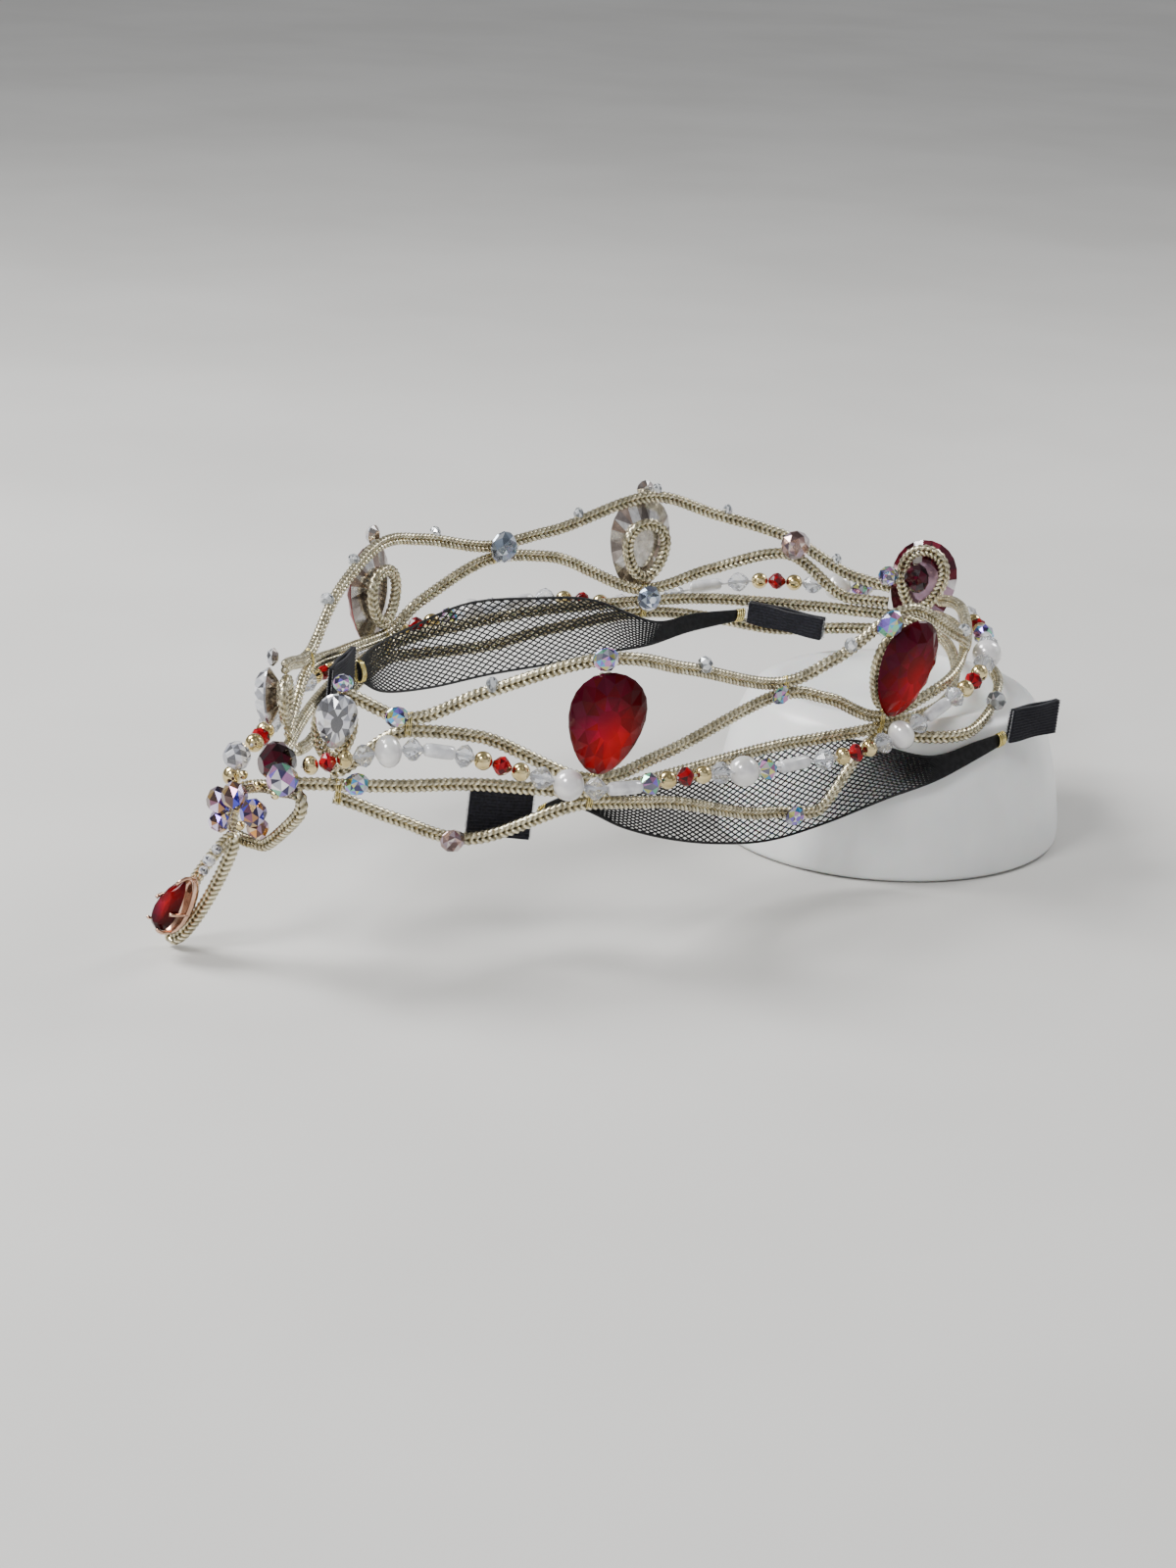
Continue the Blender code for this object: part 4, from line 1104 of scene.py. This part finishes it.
def make_string(node, start, end, stretch, seed):
    """The construction's string, with each bead cut or turned for itself on a thread."""
    count = round(abs(end - start) * THREAD_SAMPLES_PER_ROW)
    points = [cord_point("beads", start + (end - start) * k / count) for k in range(count + 1)]
    runs = distances(points)
    shape = Shape()
    thread = [world(points[0])]
    for number, (distance, length, bead) in enumerate(threaded_beads(runs[-1], stretch)):
        here, part = locate(runs, distance + length / 2)
        before, after = points[here:here + 2]
        centre = world(before.lerp(after, part))
        heading = world_direction((after - before).normalized())
        thread.append(centre)
        length = min(length, bead.length) * BEAD_CLOSENESS
        slot = STRING_MATERIALS.index(bead.finish)
        if bead.kind == "bicone":
            palette = "red" if bead.finish == "red_bead" else "clear"
            if bead.finish == "clear_bead" and chance(seed, number) < AURORA_SHARE:
                palette = "aurora"
                slot = STRING_MATERIALS.index("aurora")
            tiers = bicone_tiers(length, bead.radius)
            add_faceted(shape, centre, heading, tiers, CUT_SIDES, palette, number + seed, slot)
        elif bead.kind == "tube":
            profile = tube_profile(length, bead.radius * TUBE_FULLNESS)
            add_turned(shape, centre, heading, profile, TUBE_SIDES, slot)
        else:
            steps, sides = ROUND_BEADS[bead.kind]
            add_turned(shape, centre, heading, ball_profile(length, bead.radius, steps), sides, slot)
    thread.append(world(points[-1]))
    add_tube(shape, thread, STRING_THREAD_RADIUS, STRING_THREAD_SIDES, STRING_MATERIALS.index("satin"))
    shape.make("threaded_" + node, STRING_MATERIALS, [node])


# The crinoline: threads slant both ways between the edges, and a thicker selvedge runs along each edge.
NET_THREAD_RADIUS = 0.22
NET_THREAD_SPACING = 2.2
NET_THREAD_RUN = 1.5
NET_THREAD_POINTS = 20
NET_THREAD_SIDES = 3
SELVEDGE_RADIUS = 0.34
SELVEDGE_POINTS = 90
SELVEDGE_SIDES = 6
WEAVE_OFFSET = 0.15
# How far to both sides a line's direction is read, in rows.
LOOK_AHEAD = 0.05


def net_point(rows, place, share):
    top, bottom = net_edges(rows, place)
    return world(top.lerp(bottom, share))


def net_down(rows, place):
    """From the top edge to the bottom edge."""
    return net_point(rows, place, 1) - net_point(rows, place, 0)


def make_net(node, rows):
    last = len(rows) - 1
    row_run = sum((net_point(rows, k + 1, 0.5) - net_point(rows, k, 0.5)).length for k in range(last)) / last
    width = max(net_down(rows, k).length for k in range(last))
    slant = width * NET_THREAD_RUN / row_run
    spacing = NET_THREAD_SPACING / row_run
    shape = Shape()
    for direction in (-1, 1):
        for number in range(int((last + slant) / spacing) + 1):
            points = []
            for k in range(NET_THREAD_POINTS + 1):
                share = k / NET_THREAD_POINTS
                place = number * spacing - slant * (1 - share if direction > 0 else share)
                if 0 <= place <= last:
                    behind = net_point(rows, max(place - LOOK_AHEAD, 0), 0)
                    ahead = net_point(rows, min(place + LOOK_AHEAD, last), 0)
                    through = (ahead - behind).cross(net_down(rows, place)).normalized()
                    points.append(net_point(rows, place, share) + through * WEAVE_OFFSET * direction)
            if len(points) > 1:
                add_tube(shape, points, NET_THREAD_RADIUS, NET_THREAD_SIDES)
    for share in (0.0, 1.0):
        edge = [net_point(rows, last * k / SELVEDGE_POINTS, share) for k in range(SELVEDGE_POINTS + 1)]
        add_tube(shape, edge, SELVEDGE_RADIUS, SELVEDGE_SIDES)
    shape.make("woven_" + node, ["net"], [node])


# Wire wound round the net's ends and round cords that touch.
Coil = namedtuple("Coil", "turns pitch wire room deep")
BINDING = Coil(turns=4, pitch=0.6, wire=0.24, room=0.4, deep=1.1)
STITCH = Coil(turns=3, pitch=0.5, wire=0.12, room=CORD_RADIUS + 0.12, deep=1.35)
WIRE_SIDES = 5
COIL_STEPS = 14
# A binding's distance from the net's end, in rows.
BINDING_PLACE = 0.15


def add_coil(shape, coil, centre, axis, half):
    """Turns of wire round an axis. half runs from the centre to the edge of what is bound."""
    wide = half + half.normalized() * coil.room
    rise = axis.cross(wide).normalized() * coil.deep
    points = []
    for k in range(coil.turns * COIL_STEPS + 1):
        angle = TURN * k / COIL_STEPS
        forward = axis * (k / COIL_STEPS - coil.turns / 2) * coil.pitch
        points.append(centre + forward + wide * math.cos(angle) + rise * math.sin(angle))
    add_tube(shape, points, coil.wire, WIRE_SIDES)


def make_bindings():
    """Gold wire round each gathered end of the net bands."""
    shape = Shape()
    for rows in (NET_NEAR, NET_FAR):
        for end, inward in ((0, BINDING_PLACE), (len(rows) - 1, -BINDING_PLACE)):
            centre = net_point(rows, end + inward, 0.5)
            axis = (net_point(rows, end + 2 * inward, 0.5) - centre).normalized()
            add_coil(shape, BINDING, centre, axis, net_down(rows, end + inward) / 2)
    shape.make("net_bindings", ["wire"])


# Cords that are sewn together where they touch, as lower cord, upper cord and stations.
STITCHES = (
    ("middle", "upper", ("valley_1", "valley_2", "valley_3", "valley_5", "valley_6")),
    ("base", "middle", ("pear_1", "pear_2", "pear_4", "pear_5")),
    ("lower", "base", ("pear_1", "pear_2", "pear_4")),
)
# How far past the near hem's start its stitch is, in stations.
HEM_STITCH = 0.06


def make_stitches():
    shape = Shape()
    rows = [(INDEX["clear_near"] + HEM_START_NEAR + HEM_STITCH, "lower", "base")]
    rows += [(INDEX[station], low, high) for low, high, stations in STITCHES for station in stations]
    for place, low, high in rows:
        bottom = world(cord_point(low, place))
        top = world(cord_point(high, place))
        axis = (world(cord_point(low, place + LOOK_AHEAD)) - bottom).normalized()
        add_coil(shape, STITCH, (bottom + top) / 2, axis, (top - bottom) / 2)
    shape.make("sewn_joints", ["wire"])


# Grosgrain tabs: a folded ribbon of two leaves, with ribs that run along its length.
RIB_PITCH = 0.85
RIB_RELIEF = 0.16
RIB_STEPS = 4
TAB_COLUMNS = 24
TAB_MARGIN = 0.2
# The two leaves: each one's share of the thickness, and how far apart their middles are.
LEAF_THICK = 0.44
LEAF_APART = 0.5
# Their lean from side to side, and how fast it changes along the ribbon, in radians a millimetre.
TAB_WAVE = 0.25
TAB_WAVE_RATE = 0.45
FRAY_RADIUS = 0.12
FRAY_SIDES = 4
FRAY_LENGTH = 0.5
FRAY_SHORTEST = 0.4


def make_tabs():
    for row in TABS:
        turned = Matrix.Rotation(math.radians(row.turn), 4, "Z")
        place = RING @ Matrix.Translation((row.x, row.y, row.z)) @ turned
        shape = Shape()
        ribs = round(row.width / RIB_PITCH)
        half_width = row.width / 2 - TAB_MARGIN
        half_length = row.length / 2 - TAB_MARGIN
        half_thick = row.thickness / 2
        steps = ribs * RIB_STEPS
        outline = [(k / steps, 1) for k in range(steps + 1)] + [(1 - k / steps, -1) for k in range(steps + 1)]
        for leaf in (-1, 1):
            middle = leaf * half_thick * LEAF_APART
            points = []
            for column in range(TAB_COLUMNS + 1):
                x = (2 * column / TAB_COLUMNS - 1) * half_length
                wave = TAB_WAVE * math.sin(TAB_WAVE_RATE * x + 2 * leaf)
                for share, side in outline:
                    rib = RIB_RELIEF * (math.cos(TURN * share * ribs) - 1)
                    rise = 2 * share - 1
                    y = middle + side * (half_thick * LEAF_THICK + rib) + wave * rise * half_thick
                    points.append(place @ Vector((x, y, rise * half_width)))
            shape.add(points, skin(TAB_COLUMNS + 1, len(outline)))
            for k in range(ribs * 2):
                rise = (k + 0.5) / ribs - 1
                for end in (-1, 1):
                    root = Vector((end * half_length, middle, rise * half_width))
                    reach = FRAY_LENGTH * (FRAY_SHORTEST + (1 - FRAY_SHORTEST) * chance(k, leaf, end))
                    tip = root + Vector((end * reach, 0, 0))
                    add_tube(shape, [place @ root, place @ tip], FRAY_RADIUS, FRAY_SIDES, 1)
        shape.make("grosgrain_" + row.name, ["ribbon", "frayed"], [row.name])


BOWL_SIDES = 96
BOWL_ROW_STEPS = 4
LIP_INSET = 0.5
# The bowl's foot, from the foot's edge to the middle: how far in, and how far below the top.
FOOT = ((1.2, 0.0), (2.2, 0.1), (3.2, 0.7), (8.0, 0.9))


def make_bowl():
    """The milky bowl, turned smooth, with a rounded lip and a low foot ring."""
    outside = []
    for number in range(len(BOWL_OUTSIDE) - 1):
        rows = neighbours(BOWL_OUTSIDE, number)
        outside += [smooth(rows, k / BOWL_ROW_STEPS) for k in range(BOWL_ROW_STEPS)]
    outside.append(Vector(BOWL_OUTSIDE[-1]))
    radius, top = BOWL_OUTSIDE[-1]
    foot = [Vector((radius - inward, top - down)) for inward, down in FOOT]
    middle = Vector((0.0, top - FOOT[-1][1]))
    inside = [Vector((row.x - BOWL_WALL, row.y * (top - BOWL_WALL) / top)) for row in outside]
    lip = [Vector((outside[0].x - LIP_INSET, 0.0)), Vector((inside[0].x + LIP_INSET, 0.0))]
    inside[0].y = outside[0].y = LIP_INSET
    profile = [middle] + foot[::-1] + outside[::-1] + lip + inside + [Vector((0.0, inside[-1].y))]
    shape = Shape()
    angles = [TURN * k / BOWL_SIDES for k in range(BOWL_SIDES)]
    around = [Vector((math.cos(angle), math.sin(angle), 0)) for angle in angles]
    centre = Vector((BOWL_X, BOWL_Y, 0))
    points = [centre + spoke * row.x + Vector((0, 0, row.y)) for row in profile[1:-1] for spoke in around]
    shape.add(points, skin(len(profile) - 2, BOWL_SIDES))
    shape.make("milky_bowl", ["bowl"], ["bowl"])


# The stage, lights and camera.

FLOOR_HALF = 6.0
FLOOR_DROP = 0.0004


def make_stage():
    bpy.ops.mesh.primitive_plane_add(size=2 * FLOOR_HALF, location=(0, 0, -FLOOR_DROP))
    floor = bpy.context.object
    floor.name = "floor"
    layer = floor.data.color_attributes.new("tone", "FLOAT_COLOR", "CORNER")
    layer.data.foreach_set("color", [1.0] * 4 * len(layer.data))
    floor.data.materials.append(MATERIALS["floor"])


# Area lights, in metres and watts. Each looks at the middle of the tiara.
LIGHTS = table("name x y z size power", (
    ("window", -0.62, -0.42, 0.85, 0.45, 15),
    ("sparkle", 0.1, -0.8, 0.85, 0.26, 7),
    ("back_strip", 0.1, 0.8, 0.7, 0.3, 4),
))
LOOK_AT = Vector((0, 0, 0.04))
# The room that the jewels mirror: dark and light patches, with the noise's edges between them.
ROOM_DARK = (0.27, 0.27, 0.27)
ROOM_LIGHT = (0.94, 0.96, 1.0)
ROOM_EDGES = (0.42, 0.58)
ROOM_SCALE = 1.6
ROOM_STRENGTH = 0.85


def make_lights():
    for row in LIGHTS:
        data = bpy.data.lights.new(row.name, "AREA")
        data.shape = "SQUARE"
        data.size = row.size
        data.energy = row.power
        lamp = bpy.data.objects.new(row.name, data)
        lamp.location = (row.x, row.y, row.z)
        lamp.rotation_mode = "QUATERNION"
        lamp.rotation_quaternion = (LOOK_AT - lamp.location).to_track_quat("-Z", "Y")
        bpy.context.scene.collection.objects.link(lamp)
    room = bpy.data.worlds.new("soft room")
    room.use_nodes = True
    tree = room.node_tree
    background = tree.nodes["Background"]
    background.inputs["Strength"].default_value = ROOM_STRENGTH
    _, ramp = noise_ramp(tree, "Generated", ROOM_SCALE, ROOM_EDGES, (ROOM_DARK, ROOM_LIGHT))
    tree.links.new(ramp.outputs["Color"], background.inputs["Color"])
    bpy.context.scene.world = room


CAMERA_PLACE = Vector((546.4, -498.5, 270.4))
CAMERA_RIGHT = Vector((0.6684, 0.7438, 0))
CAMERA_DOWN_DEG = 18.63
CAMERA_ROLL_DEG = 2.08
CAMERA_LENS = 72.585
CAMERA_NEAREST = 0.01


def make_camera():
    ahead = Vector((-CAMERA_RIGHT.y, CAMERA_RIGHT.x, 0))
    down = math.radians(CAMERA_DOWN_DEG)
    roll = math.radians(CAMERA_ROLL_DEG)
    look = ahead * math.cos(down) - Vector((0, 0, math.sin(down)))
    rise = ahead * math.sin(down) + Vector((0, 0, math.cos(down)))
    local_x = CAMERA_RIGHT * math.cos(roll) + rise * math.sin(roll)
    local_y = rise * math.cos(roll) - CAMERA_RIGHT * math.sin(roll)
    data = bpy.data.cameras.new("camera")
    data.lens = CAMERA_LENS
    data.clip_start = CAMERA_NEAREST
    camera = bpy.data.objects.new("camera", data)
    camera.rotation_mode = "QUATERNION"
    camera.rotation_quaternion = Matrix((local_x, local_y, -look)).transposed().to_quaternion()
    camera.location = CAMERA_PLACE * MM
    bpy.context.scene.collection.objects.link(camera)
    bpy.context.scene.camera = camera


make_camera()
MATERIALS = {name: make_material(name, finish) for name, finish in FINISHES.items()}
make_crown_cords()
make_pears()
make_stones()
make_small_crystals()
make_cluster()
make_brow_loop()
make_drop()
make_string("bead_string_near", NEAR_STRING_START, BACK - STRING_END_GAP, NEAR_STRETCH, NEAR_STRING_SEED)
make_string("bead_string_far", FAR_STRING_START, BACK + STRING_END_GAP, FAR_STRETCH, FAR_STRING_SEED)
make_net("net_band_near", NET_NEAR)
make_net("net_band_far", NET_FAR)
make_bindings()
make_stitches()
make_tabs()
make_bowl()
make_stage()
make_lights()
